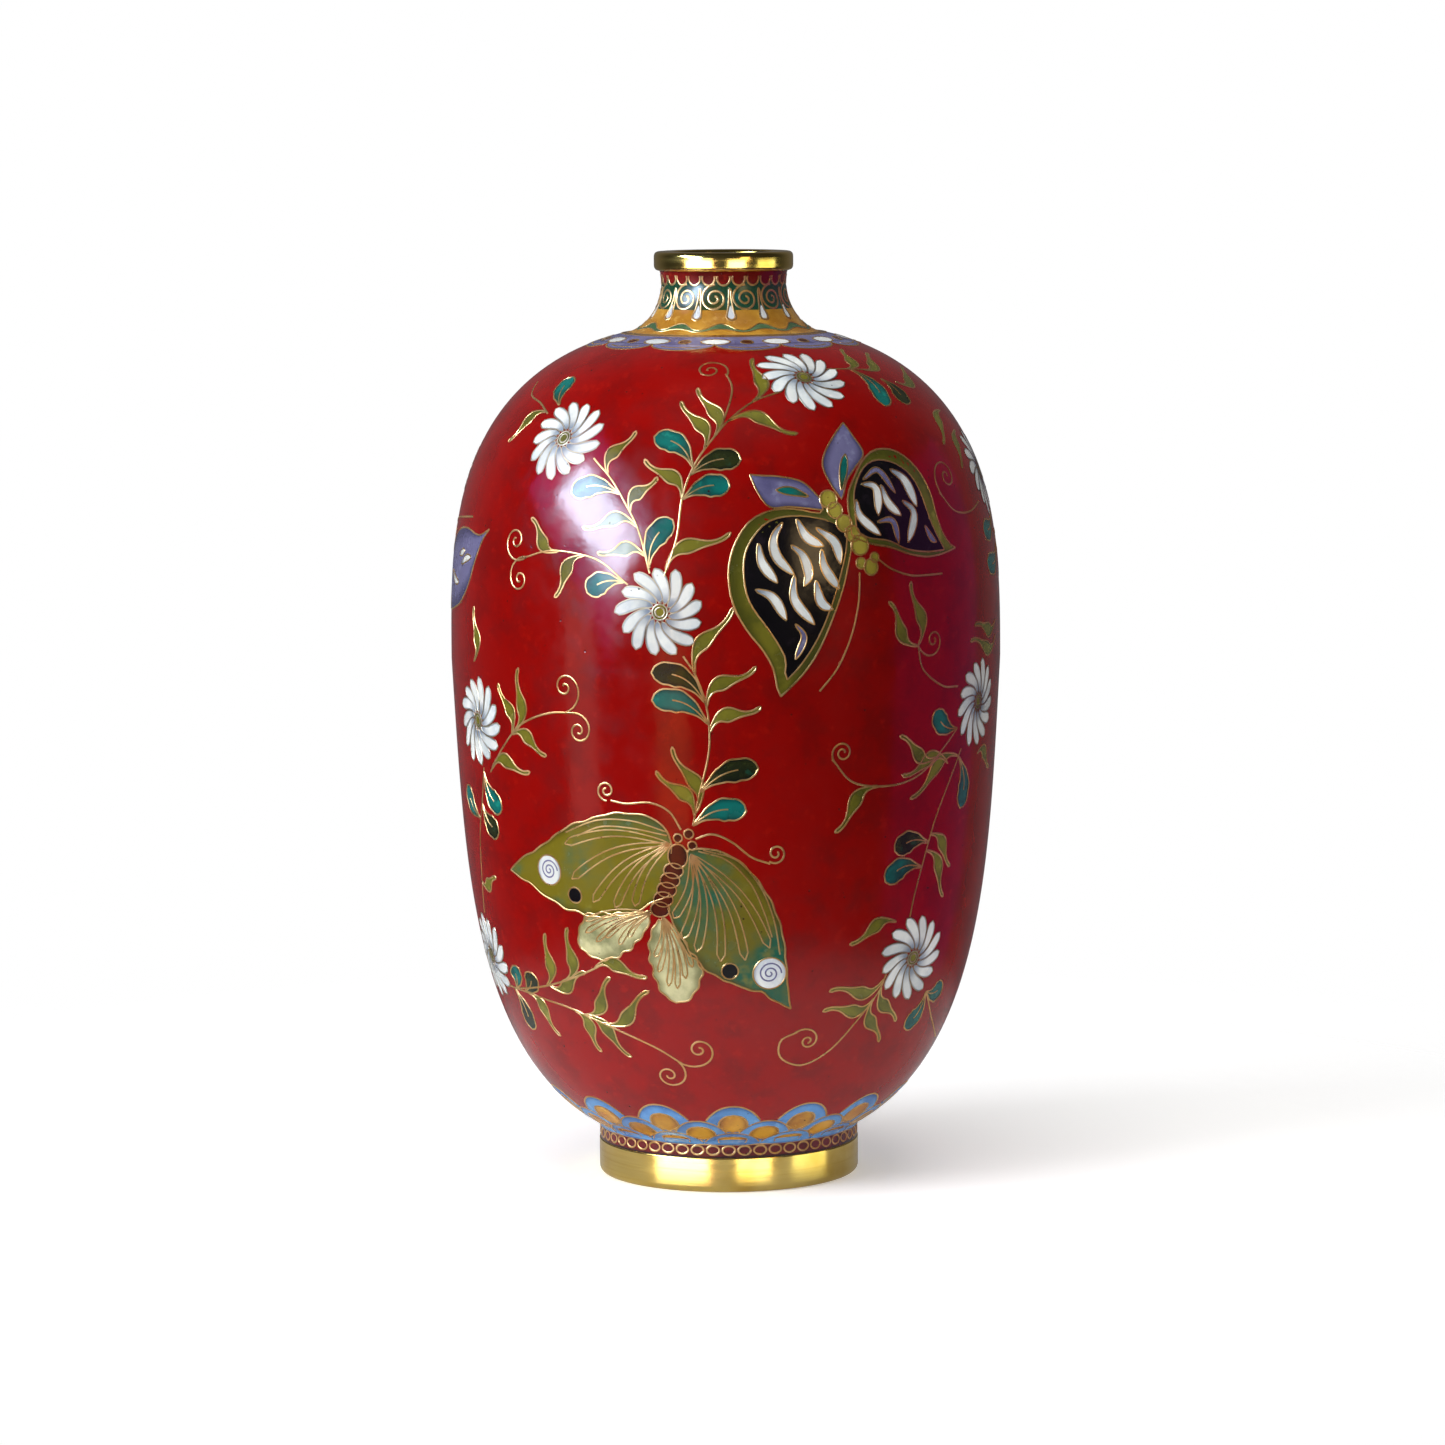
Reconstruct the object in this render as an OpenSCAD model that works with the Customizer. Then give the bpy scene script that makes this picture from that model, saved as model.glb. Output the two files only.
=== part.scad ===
/* [Overall size] */
// Height from the table to the top of the mouth ring
vase_h = 155.4; // [155:0.1:155.8]
// Largest radius of the enamelled belly
belly_r = 46.1; // [45.5:0.1:46.5]
// Height of the widest place
belly_z = 87.5; // [87:0.1:88]

/* [Rings] */
// Outer radius of the foot ring
foot_r = 21.95; // [21.9:0.01:22.2]
// Inner radius of the foot ring
foot_bore_r = 19.6; // [19.2:0.1:19.6]
// Height of the foot ring
foot_h = 5.9; // [5.6:0.1:6.2]
// Outer radius of the mouth ring
mouth_r = 11.64; // [11.5:0.01:12]
// Radius of the mouth
mouth_bore_r = 8.4; // [8.2:0.1:8.4]
// Height of the mouth ring
mouth_h = 3.2; // [2.9:0.1:3.5]

/* [Wall] */
// Thickness of the outer enamel
enamel_t = 0.7; // [0.5:0.05:0.7]
// Thickness of the copper
copper_t = 0.8; // [0.6:0.05:0.8]
// Thickness of the enamel lining
lining_t = 0.3; // [0.2:0.05:0.3]

/* [Decoration] */
// Width of a cloison wire
wire_w = 0.35; // [0.25:0.05:0.5]
// How far a cell stands on the ground enamel
cell_h = 0.25; // [0.15:0.05:0.35]
// How far a wire stands on the ground enamel
wire_h = 0.4; // [0.3:0.05:0.5]
// Radius of a daisy
daisy_r = 7.3; // [6.5:0.1:7.5]
// Petals on a daisy
petals = 13; // [9:1:15]

/* [Hidden] */
$fn = 96;

// Colours
COPPER = "#b36a3e";
BRASS = "#c9a24a";
GILT = "#d9b06a";
RED = "#8f1512";
MAROON = "#5e1410";
OCHRE = "#cf9230";
GREEN = "#1f5a4a";
TEAL = "#1c7d78";
OLIVE_COLOUR = "#7d7a2a";
DARK = "#20281c";
LAVENDER = "#7f7fae";
BLUE = "#5f8fc0";
WHITE = "#eef1ee";
CREAM = "#d8cf9a";
BLACK = "#14161c";

// ---- The outer meridian: [radius, height] points from the foot joint to the mouth joint ----
// Each quarter has its height and two powers: one bends it in height, the other rounds it
shoulder_h = 56;
shoulder_bend = 3.05;
shoulder_round = 2.45;
lower_h = 82.7;
lower_bend = 3.64;
lower_round = 2.81;
lower_taper = 0.093;
// The neck is a quarter ellipse under a short flare to the mouth ring
mouth_joint_z = vase_h - mouth_h;
neck_z = mouth_joint_z - 1.9;
neck_r = 10.4;
neck_reach = 7.6;
neck_drop = 8.6;
neck_flare = 0.3;
neck_start_z = neck_z - 8.3;
foot_joint_r = 21.8;
// A small curve joins the upright foot to the body
fillet_from_z = foot_h + 1.7;
fillet_mid_z = foot_h + 2.6;
fillet_z = foot_h + 3.3;

// Shoulder: a superellipse quarter above the widest place
function shoulder_r(z) = let(t = (z - belly_z) / shoulder_h)
  belly_r * pow(1 - pow(t, shoulder_bend), 1 / shoulder_round);

// Lower body: a superellipse quarter that tapers a little towards the foot
function lower_r(z) = let(t = (belly_z - z) / lower_h)
  belly_r * (1 - lower_taper * t) * pow(1 - pow(t, lower_bend), 1 / lower_round);

fillet_points = [for (u = [0.25, 0.5, 0.75, 1])
  pow(1 - u, 2) * [foot_joint_r, fillet_from_z] + 2 * u * (1 - u) * [foot_joint_r, fillet_mid_z]
    + u * u * [lower_r(fillet_z), fillet_z]];
lower_points = [for (k = [1 : 22]) let(z = belly_z - (belly_z - fillet_z) * sin(90 - 90 * k / 22))
  [lower_r(z), z]];
shoulder_points = [for (k = [1 : 20]) let(z = belly_z + (neck_start_z - belly_z) * sin(90 * k / 20))
  [shoulder_r(z), z]];
neck_points = [for (a = [72 : -8 : 0]) [neck_r + neck_reach * (1 - cos(a)), neck_z - neck_drop * sin(a)]];
WALL = concat([[foot_joint_r, foot_h], [foot_joint_r, fillet_from_z]], fillet_points, lower_points,
  shoulder_points, neck_points, [[neck_r + neck_flare / 4, (neck_z + mouth_joint_z) / 2],
  [neck_r + neck_flare, mouth_joint_z]]);
last = len(WALL) - 1;

// Distance up the wall at each point, which places every motif
UP = [for (k = 0, d = 0; k <= last; d = d + (k < last ? norm(WALL[k + 1] - WALL[k]) : 0), k = k + 1) d];
wall_len = UP[last];
R_UP = [for (k = [0 : last]) [UP[k], WALL[k][0]]];
Z_UP = [for (k = [0 : last]) [UP[k], WALL[k][1]]];

// Outward direction at each point; level at both ends, so that the layers meet the rings squarely
function across(k) = let(d = WALL[k + 1] - WALL[k - 1]) [d[1], -d[0]] / norm(d);
OUT = [for (k = [0 : last]) k == 0 || k == last ? [1, 0] : across(k)];

function wall_r(up) = lookup(up, R_UP);
function wall_z(up) = lookup(up, Z_UP);
function slope(up) = let(d = 0.6, a = max(up - d, 0), b = min(up + d, wall_len))
  atan2(wall_r(a) - wall_r(b), wall_z(b) - wall_z(a));

// A point at angle th (degrees, 0 at the front), distance up the wall and height over the enamel
function wall_point(th, up, h) = let(a = slope(up), r = wall_r(up) + h * cos(a))
  [r * sin(th), -r * cos(th), wall_z(up) + h * sin(a)];

// Places its children on the wall: x to the right, y up the wall, z outwards
module on_wall(th, up, turn = 0, lift = 0) {
  translate(wall_point(th, up, lift)) rotate([0, 0, th]) rotate([90 - slope(up), 0, 0])
    rotate([0, 0, turn]) children();
}

// One layer of the wall between two depths and two stations of the meridian
module wall_layer(first, final, depth_out, depth_in) {
  stations = [for (k = [first : final]) k];
  outer = [for (k = stations) WALL[k] - depth_out * OUT[k]];
  inner = [for (k = [final : -1 : first]) WALL[k] - depth_in * OUT[k]];
  rotate_extrude() polygon(concat(outer, inner));
}

// The station nearest a distance up the wall
function station(up) = [for (k = [0 : last]) if (UP[k] >= up) k][0];
belly_station = 2 + len(fillet_points) + len(lower_points);
// Where the shoulder copper meets the neck copper, and the upper edge of each enamel band
neck_seam_up = 156.5;
foot_band_top = 2.6;
scale_band_top = 6;
ground_top = 151;
lappet_band_top = 156;
ochre_band_top = 163;
green_band_top = 168;
neck_station = station(neck_seam_up);

// ---- Copper ----
module lower_body_shell() { color(COPPER) wall_layer(0, belly_station, enamel_t, enamel_t + copper_t); }
module upper_body_shell() {
  color(COPPER) wall_layer(belly_station, neck_station, enamel_t, enamel_t + copper_t);
}
module neck_shell() { color(COPPER) wall_layer(neck_station, last, enamel_t, enamel_t + copper_t); }

base_z = 4.2;
base_t = 0.9;
module base_plate() {
  color(COPPER) translate([0, 0, base_z]) cylinder(r = foot_bore_r, h = base_t);
}

// ---- Brass rings: turned sections with rounded lips ----
lip_r = 0.9;
module foot_ring() {
  corner = 1.2;
  color(BRASS) rotate_extrude() union() {
    translate([foot_bore_r, 0]) square([foot_r - foot_bore_r - corner, foot_h]);
    translate([foot_bore_r, corner]) square([foot_r - foot_bore_r, foot_h - corner]);
    translate([foot_r - corner, corner]) intersection() {
      circle(r = corner);
      translate([0, -corner]) square(corner);
    }
  }
}

module mouth_ring() {
  color(BRASS) translate([0, 0, mouth_joint_z]) rotate_extrude() union() {
    translate([mouth_bore_r, 0]) square([mouth_r - mouth_bore_r - lip_r, mouth_h - lip_r]);
    translate([mouth_bore_r + lip_r, 0]) square([mouth_r - mouth_bore_r - 2 * lip_r, mouth_h]);
    translate([mouth_r - lip_r, lip_r]) square([lip_r, mouth_h - 2 * lip_r]);
    for (x = [mouth_bore_r + lip_r, mouth_r - lip_r]) translate([x, mouth_h - lip_r]) circle(r = lip_r);
    translate([mouth_r - lip_r, lip_r]) circle(r = lip_r);
  }
}

// ---- Enamel layers ----
wall_t = enamel_t + copper_t + lining_t;
module lining_enamel() {
  color(TEAL) {
    wall_layer(0, last, enamel_t + copper_t, wall_t);
    translate([0, 0, base_z + base_t]) cylinder(r = foot_bore_r, h = lining_t);
  }
}
module base_enamel() {
  color(TEAL) translate([0, 0, base_z - lining_t]) cylinder(r = foot_bore_r, h = lining_t);
}

foot_band_end = station(foot_band_top);
scale_band_end = station(scale_band_top);
ground_end = station(ground_top);
lappet_end = station(lappet_band_top);
ochre_end = station(ochre_band_top);
green_end = station(green_band_top);
module foot_band_enamel() { color(MAROON) wall_layer(0, foot_band_end, 0, enamel_t); }
module scale_band_enamel() { color(BLUE) wall_layer(foot_band_end, scale_band_end, 0, enamel_t); }
module ground_enamel() { color(RED) wall_layer(scale_band_end, ground_end, 0, enamel_t); }
module lappet_band_enamel() { color(LAVENDER) wall_layer(ground_end, lappet_end, 0, enamel_t); }
module ochre_band_enamel() { color(OCHRE) wall_layer(lappet_end, ochre_end, 0, enamel_t); }
module green_band_enamel() { color(GREEN) wall_layer(ochre_end, green_end, 0, enamel_t); }
module maroon_band_enamel() { color(MAROON) wall_layer(green_end, last, 0, enamel_t); }

// ---- Flat shapes that the motifs are made of ----
// A pointed oval from [0, 0] to [0, length]
module pointed_oval(length, width) {
  r = (length * length / 4 + width * width / 4) / width;
  intersection() {
    translate([r - width / 2, length / 2]) circle(r = r);
    translate([width / 2 - r, length / 2]) circle(r = r);
  }
}
// The wire round a pointed oval
module oval_wire(length, width) {
  difference() {
    translate([0, -wire_w]) pointed_oval(length + 2 * wire_w, width + wire_w);
    pointed_oval(length, width);
  }
}
module cell() { linear_extrude(height = cell_h) children(); }
module wire() { linear_extrude(height = wire_h) children(); }
// A flat ring or part of one, standing on the wall
module wire_arc(r, angle = 360, from = 0) {
  rotate([0, 0, from]) rotate_extrude(angle = angle) translate([r - wire_w / 2, 0]) square([wire_w, wire_h]);
}
// A spiral of half turns, each smaller than the last, that starts at [r, 0]
module spiral(r, turns = 3, shrink = 0.68) {
  wire_arc(r, 180);
  if (turns > 1) translate([-r * (1 - shrink), 0]) rotate([0, 0, 180]) spiral(r * shrink, turns - 1, shrink);
}
// Part of a disc, such as a scale
module half_disc(r_in, r_out) {
  rotate_extrude(angle = 180) translate([r_in, 0]) square([r_out - r_in, cell_h]);
}

// ---- Border rings ----
module border_wires() {
  color(GILT) for (k = [foot_band_end, ground_end, lappet_end, ochre_end, green_end])
    rotate_extrude() translate([WALL[k][0] + 0.02, WALL[k][1] - wire_w / 2]) square([wire_w, wire_w]);
}

// ---- Foot: a row of small loops, and three rows of scales ----
foot_loops = 52;
foot_loop_up = 1.45;
foot_loop_r = 0.85;
module foot_loop_wires() {
  color(GILT) for (k = [1 : foot_loops]) on_wall(360 * k / foot_loops, foot_loop_up) wire_arc(foot_loop_r);
}

scale_count = 15;
scale_pitch = 360 / scale_count;
// Rows of scales: first angle, distance up the wall of the straight side, outer radius
SCALE_ROWS = [[1.5, 10.2, 4.2], [13.5, 5.9, 3.9], [1.5, 2.7, 2.9]];
heart_share = 0.62;
module each_scale() {
  for (row = SCALE_ROWS, k = [0 : scale_count - 1])
    on_wall(row[0] + scale_pitch * k, row[1] + row[2] / 2) translate([0, -row[2] / 2]) {
      $scale_r = row[2];
      children();
    }
}
module scale_hearts() { color(OCHRE) each_scale() half_disc(0.05, $scale_r * heart_share - wire_w); }
module scale_blues() { color(BLUE) each_scale() half_disc($scale_r * heart_share, $scale_r - wire_w); }
module scale_wires() {
  color(GILT) each_scale() {
    wire_arc($scale_r - wire_w / 2, 180);
    wire_arc($scale_r * heart_share - wire_w / 2, 180);
  }
}

// ---- Shoulder: lappets and ovals ----
lappet_count = 12;
lappet_pitch = 360 / lappet_count;
lappet_start = 11;
lappet_up = 149.6;
lappet_r = 3;
// Lozenges hang in the lappets, and the ovals lie between them
lozenge_up = 153.4;
lozenge_l = 1.8;
lozenge_w = 1.2;
oval_l = 3.4;
oval_w = 1.5;
module each_lappet(first, up) {
  for (k = [0 : lappet_count - 1]) on_wall(first + lappet_pitch * k, up) children();
}
module lappets() {
  color(LAVENDER) each_lappet(lappet_start, lappet_up) rotate([0, 0, 180]) half_disc(0.05, lappet_r);
}
module lappet_wires() {
  color(GILT) each_lappet(lappet_start, lappet_up) wire_arc(lappet_r + 0.2, 180, 180);
}
module lappet_lozenges() {
  color(MAROON) each_lappet(lappet_start, lozenge_up) translate([0, -lozenge_l / 2]) cell()
    pointed_oval(lozenge_l, lozenge_w);
}
module shoulder_ovals() {
  color(WHITE) each_lappet(lappet_start - lappet_pitch / 2, lozenge_up) rotate([0, 0, 90])
    translate([0, -oval_l / 2]) cell() pointed_oval(oval_l, oval_w);
}

// ---- Neck ----
spiral_count = 13;
spiral_pitch = 360 / spiral_count;
spiral_start = -8;
spiral_up = 165.6;
spiral_r = 1.95;
// Drops hang between the spirals
drop_up = 163.1;
drop_l = 1.9;
drop_w = 0.85;
module each_spiral(shift, up) {
  for (k = [0 : spiral_count - 1]) on_wall(spiral_start + spiral_pitch * (k + shift), up) children();
}
module spiral_wires() { color(GILT) each_spiral(0, spiral_up) spiral(spiral_r, 4, 0.72); }
module drop_cells() {
  color(WHITE) each_spiral(0.5, drop_up) translate([0, -drop_l / 2]) cell() pointed_oval(drop_l, drop_w);
}
module drop_wires() {
  color(GILT) each_spiral(0.5, drop_up) translate([0, -drop_l / 2]) wire() oval_wire(drop_l, drop_w);
}
// Crests of the wave in the ochre band, one over each lappet
crest_start = -2;
crest_up = 159.6;
crest_l = 3;
crest_w = 0.9;
module wavy_cells() {
  color(TEAL) each_lappet(crest_start, crest_up) rotate([0, 0, 90]) translate([0, -crest_l / 2]) cell()
    pointed_oval(crest_l, crest_w);
}
scallop_count = 26;
scallop_up = 169.2;
scallop_r = 1.1;
module scallop_wires() {
  color(GILT) for (k = [1 : scallop_count])
    on_wall(360 * (k + 0.5) / scallop_count, scallop_up) wire_arc(scallop_r, 180, 180);
}

// ---- Sprays ----
// Every motif is placed by angle round the vase (degrees) and distance up the wall (mm). The whole
// set is drawn twice, half a turn apart, so both faces of the vase carry it.
FACES = [0, 180];

// Daisies: angle, distance up the wall
DAISIES = [[25, 141.3], [-41, 128], [-13, 100.4], [-63, 80], [65, 82.7], [-73, 39.5], [47.5, 41.2], [82, 120.2]];

// Leaves: angle and distance of the base, then of the tip
OLIVE = [
  // stem between the butterflies
  [-6, 68, -11, 78.5], [-8, 67, -14.5, 74.5], [-3, 81, 7, 85], [-3, 85, 6, 91.5], [-4, 91, 1.5, 101],
  // stem from the middle daisy to the upper one
  [-9.5, 106, 1, 113], [-10, 118.5, -18, 125], [-6, 127, -11, 136], [-3, 129.5, -7, 139],
  [3, 130.5, 18, 129.5], [6, 137.5, 10, 147], [43, 143, 53, 149], [54, 142, 66, 147],
  // stems to the upper left
  [-30, 108.5, -37, 102], [-36, 110.5, -45, 114.5], [-18, 109, -27, 109.5], [-20, 113, -31, 113.5],
  [-19, 117, -15, 122], [-26, 123, -22, 130], [-52, 133, -63, 127],
  // left side
  [-50, 79.5, -47, 90], [-51, 80, -54, 87], [-50, 79, -40, 76], [-58, 72, -45, 73], [-64, 90, -64, 99],
  [-71, 53, -61, 54],
  // lower left
  [-46, 36.5, -34, 40], [-31, 40, -18.5, 40], [-47, 37, -44.5, 46], [-41, 38, -37.5, 47.5],
  [-36, 33.5, -27.5, 39.5], [-31, 32, -18, 37.5], [-36.5, 32, -26, 25], [-40, 33, -34.5, 25.5],
  [-56, 33.5, -47.5, 27.5],
  // lower right
  [36, 35.5, 23, 33.5], [37, 38.5, 24, 37], [38.5, 37, 45.5, 30], [36, 34.5, 41.5, 26.5],
  [40, 48, 28, 45], [49, 62, 56.5, 56], [48, 59, 55, 51], [56, 75, 41.5, 68.5], [53, 73.5, 39, 72.5],
  [33, 71, 23, 64], [49, 75, 38, 79], [43, 94, 41, 104], [42, 94, 35, 101],
  // right side
  [73, 132, 62, 126], [75, 128, 67, 121.5], [76, 95.5, 62.5, 95.5], [76, 92, 60.5, 92], [66, 74, 75, 71],
  [60, 139, 80, 142]
];
TEAL_LEAVES = [
  [-6, 65.5, 4, 68], [-5, 82, -15, 86], [-14.5, 107, -11, 115], [-8, 118, 1, 120.5], [-8, 124, -16.5, 129],
  [45, 141.5, 47, 134], [-22, 104, -29, 103], [-24, 118.5, -35, 119], [-49, 134.5, -53, 141],
  [-62, 72, -55.5, 66], [-67, 64, -73.5, 68.5], [-61, 35, -60, 39], [53, 34.5, 50, 28.5],
  [55, 34.5, 63, 35], [46, 57, 36, 55], [57, 74.5, 59, 65.5], [56.5, 80, 48, 82.5],
  [82, 113, 71.5, 111], [84, 108, 71.5, 105.5]
];
DARK_LEAVES = [
  [-4, 71, 6.5, 75], [-5, 85.5, -15, 90.5], [-8, 122.5, 3.5, 125], [54, 140, 56, 134], [-64, 66, -57.5, 62],
  [-57, 35, -52, 38.5], [-62, 33.5, -60, 27.5], [46.5, 61, 38, 60]
];

// Stems: the points of each wire, from its foot on
STEMS = [
  [[-7, 65.7], [-5.5, 71], [-3.5, 78], [-3.8, 84.5], [-6, 90], [-8.5, 93.2]],
  [[-12, 107.5], [-10, 112], [-9, 119], [-6.5, 124.5], [-2, 129.5], [2, 132.8], [8, 136], [16, 138]],
  [[-20, 104.5], [-26, 108], [-32, 109.2], [-39, 109.4], [-46, 108]],
  [[-16, 108], [-18, 113], [-21, 117], [-25.5, 121.5], [-31, 125]],
  [[-51.5, 132.7], [-58, 134.7], [-67, 136.2], [-72, 139]],
  [[-59, 72], [-53.5, 76.5], [-47, 80.7], [-39, 83], [-32, 83.4]],
  [[-62, 72.5], [-64, 67], [-67, 61], [-69, 54], [-71.5, 47]],
  [[-65, 35], [-56, 34.7], [-48, 34], [-40, 33], [-28.5, 30.2], [-18.5, 27.2], [-12, 24.2]],
  [[39, 39], [37.5, 36], [32.5, 31], [26.5, 26], [19.5, 23.5], [13.5, 25.2], [13, 28.5], [17, 30]],
  [[55, 34.5], [61.5, 29.5], [68, 26.2], [74, 24]],
  [[44, 48.5], [45, 53], [48, 61], [51, 66.5], [58, 75.5]],
  [[56, 79], [51, 76], [44, 72.3], [36, 71], [27, 72], [22, 76]],
  [[42.5, 93.5], [44, 89.5], [50, 86.5], [55.5, 86]],
  [[72, 115.5], [65, 114.2], [58, 114.7], [53.5, 118]],
  [[35, 143.2], [43, 143], [51.5, 142.5]],
  [[-60, 35], [-50, 36.2], [-41, 38], [-34, 40], [-29, 41.8]],
  [[-1, 130.5], [1.5, 136], [2.2, 139.5], [0.5, 142.5]]
];
// Curls at the ends of the stems: angle, distance, radius, turn of the spiral
CURLS = [
  [-4.5, 143.5, 2.4, 0], [-49, 110.7, 2.3, 90], [-47, 104.5, 2.0, 180], [-34.5, 87.5, 2.2, 0],
  [-31.5, 80.5, 2.1, 180], [-16, 21.7, 2.3, 180], [-7.3, 27, 2.2, 0], [20, 28.2, 1.5, 0],
  [24.3, 77, 1.8, 0], [47, 94.2, 1.8, 90], [58, 120.5, 2.6, 0], [-25.5, 71.8, 1.3, 90], [10.2, 62, 1.3, 0]
];

module each_daisy() { for (face = FACES, d = DAISIES) { $place = d; rotate([0, 0, face]) children(); } }
petal_in = 2.1;
petal_w = 2.3;
petal_lean = 12;
heart_r = 1.6;
// One petal or its wire, set down on the wall at the place it really has
module each_petal() {
  each_daisy() for (k = [0 : petals - 1]) {
    mid = (petal_in + daisy_r) / 2;
    a = 360 * k / petals;
    across_deg = mid * sin(-a) / wall_r($place[1]) * 180 / PI;
    on_wall($place[0] + across_deg, $place[1] + mid * cos(a), a + petal_lean) translate([0, -(daisy_r - petal_in) / 2])
      children();
  }
}
module petal_cells() {
  color(WHITE) each_petal() cell() pointed_oval(daisy_r - petal_in - wire_w, petal_w - 1.6 * wire_w);
}
module petal_wires() {
  color(GILT) each_petal() wire() oval_wire(daisy_r - petal_in - wire_w, petal_w - 1.6 * wire_w);
}
module daisy_hearts() {
  color(OLIVE_COLOUR) each_daisy() on_wall($place[0], $place[1]) cylinder(r = heart_r, h = cell_h);
}

// Sets a leaf's shape on the wall, from its base towards its tip; $length is the leaf's length
module each_leaf(list) {
  for (face = FACES, f = list) {
    run = [(f[2] - f[0]) * PI / 180 * wall_r((f[1] + f[3]) / 2), f[3] - f[1]];
    $length = norm(run);
    rotate([0, 0, face]) on_wall((f[0] + f[2]) / 2, (f[1] + f[3]) / 2, atan2(-run[0], run[1]))
      translate([0, -$length / 2]) children();
  }
}
slim = 0.24;
plump = 0.42;
stalk = 1.1;
module leaf_cell(list, share) {
  each_leaf(list) translate([0, stalk]) cell() pointed_oval($length - stalk - wire_w, $length * share - wire_w);
}
module leaf_outline(list, share) {
  each_leaf(list) translate([0, stalk]) wire()
    oval_wire($length - stalk - wire_w, $length * share - wire_w);
}
module olive_leaves() { color(OLIVE_COLOUR) leaf_cell(OLIVE, slim); }
module teal_leaves() { color(TEAL) leaf_cell(TEAL_LEAVES, plump); }
module dark_leaves() { color(DARK) leaf_cell(DARK_LEAVES, plump); }
module leaf_wires() {
  color(GILT) {
    leaf_outline(OLIVE, slim);
    leaf_outline(TEAL_LEAVES, plump);
    leaf_outline(DARK_LEAVES, plump);
  }
}

// A square wire along points on the wall
wire_clear = 0.16;
module wall_wire(points) {
  ring = [[-1, 0], [1, 0], [1, 1], [-1, 1]];
  n = len(points);
  function side(k) = let(a = points[max(k - 1, 0)], b = points[min(k + 1, n - 1)],
    d = [(b[0] - a[0]) * PI / 180 * wall_r(points[k][1]), b[1] - a[1]]) [-d[1], d[0]] / norm(d);
  function corner(k, q) = let(s = side(k), x = q[0] * wire_w / 2,
    th = points[k][0] + x * s[0] / wall_r(points[k][1]) * 180 / PI)
    wall_point(th, points[k][1] + x * s[1], wire_clear + q[1] * wire_w);
  vertices = [for (k = [0 : n - 1], q = ring) corner(k, q)];
  sides = [for (k = [0 : n - 2], j = [0 : 3]) let(a = 4 * k + j, b = 4 * k + (j + 1) % 4) [a, b, b + 4, a + 4]];
  polyhedron(vertices, concat([[3, 2, 1, 0]], sides, [[4 * n - 4, 4 * n - 3, 4 * n - 2, 4 * n - 1]]));
}
module stem_wires() {
  color(GILT) for (face = FACES, points = STEMS) rotate([0, 0, face]) wall_wire(points);
}
module curl_wires() {
  color(GILT) for (face = FACES, c = CURLS) rotate([0, 0, face]) on_wall(c[0], c[1], c[3]) spiral(c[2], 3, 0.66);
}

// ---- Butterflies ----
// Outlines of the wings: angle, distance up the wall
BLACK_LEFT = [[24, 115.5], [14, 117], [5, 114.5], [1, 108], [1.5, 102], [7, 95], [11, 86.7], [20, 93], [26.5, 108]];
BLACK_RIGHT = [[31, 123], [39, 126], [46.5, 123], [51, 117], [56, 109.2], [46.5, 108], [34, 110], [30, 113]];
OLIVE_LEFT = [[-12, 61.7], [-16, 66], [-23.5, 67.7], [-32, 66.2], [-40, 62.7], [-47, 58.7], [-54, 56],
  [-46, 53.2], [-41, 51.7], [-31, 50.7], [-21, 50.5], [-16.5, 51.7]];
OLIVE_RIGHT = [[-8.5, 61], [-1, 61.7], [5, 58.7], [10, 53.2], [12.7, 46.2], [14, 40.2], [15, 34.4],
  [9, 36.7], [1.5, 38.7], [-5, 42.2], [-11, 50]];
// The blue butterflies sit between the two faces: angle and distance of the body, and size
BLUE_ONES = [[-92, 105, 1], [107, 105, 0.75]];
BLUE_WING = [[2, 1], [12, 6.5], [22, 8.5], [33, 7.2], [28, -2], [20, -8], [12, -9], [2, -4]];
function blue_outline(b, side) = [for (p = BLUE_WING) [b[0] + side * b[2] * p[0], b[1] + b[2] * p[1]]];
BLUE_OUTLINES = [for (b = BLUE_ONES, side = [-1, 1]) blue_outline(b, side)];
HIND_LEFT = [[22.5, 118.5], [20, 120], [14, 122], [5.6, 122.5], [9, 118.8], [14, 117.8]];
HIND_RIGHT = [[25, 118.5], [22.7, 122], [24.6, 126.2], [30.5, 131], [33, 126.5], [30, 124]];
CREAM_LEFT = [[-18, 50], [-26, 49.7], [-32, 48.7], [-35, 46.2], [-33.5, 43.7], [-30, 42.5],
  [-25, 43.7], [-20, 46.7]];
CREAM_RIGHT = [[-15, 49.5], [-17, 45.2], [-17.5, 41.2], [-15, 37.2], [-11, 35.5], [-7, 36.7], [-6, 40.2],
  [-8.5, 44.2], [-12.5, 48]];

function middle(p) = [for (k = [0, 1]) let(v = [for (q = p) q[k]]) (min(v) + max(v)) / 2];
// A wing's outline in mm round its middle
function flat_outline(p) = let(m = middle(p))
  [for (q = p) [(q[0] - m[0]) * PI / 180 * wall_r(m[1]), q[1] - m[1]]];

// The skin over the enamel between two heights, which gives the wings the wall's curve
module skin(low_up, high_up, h0, h1) {
  wall_layer(max(station(low_up) - 2, 1), min(station(high_up) + 1, last - 1), -h1, -h0);
}
// The block that cuts an outline from the skin starts under the wall and ends over it
cut_under = 6;
cut_h = 8;
rim_share = 1.05;
// A wing: its outline cut from the skin
module wing(p, h) {
  m = middle(p);
  v = [for (q = p) q[1]];
  intersection() {
    skin(min(v), max(v), 0, h);
    on_wall(m[0], m[1], 0, -cut_under) linear_extrude(height = cut_h) polygon(flat_outline(p));
  }
}
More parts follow.
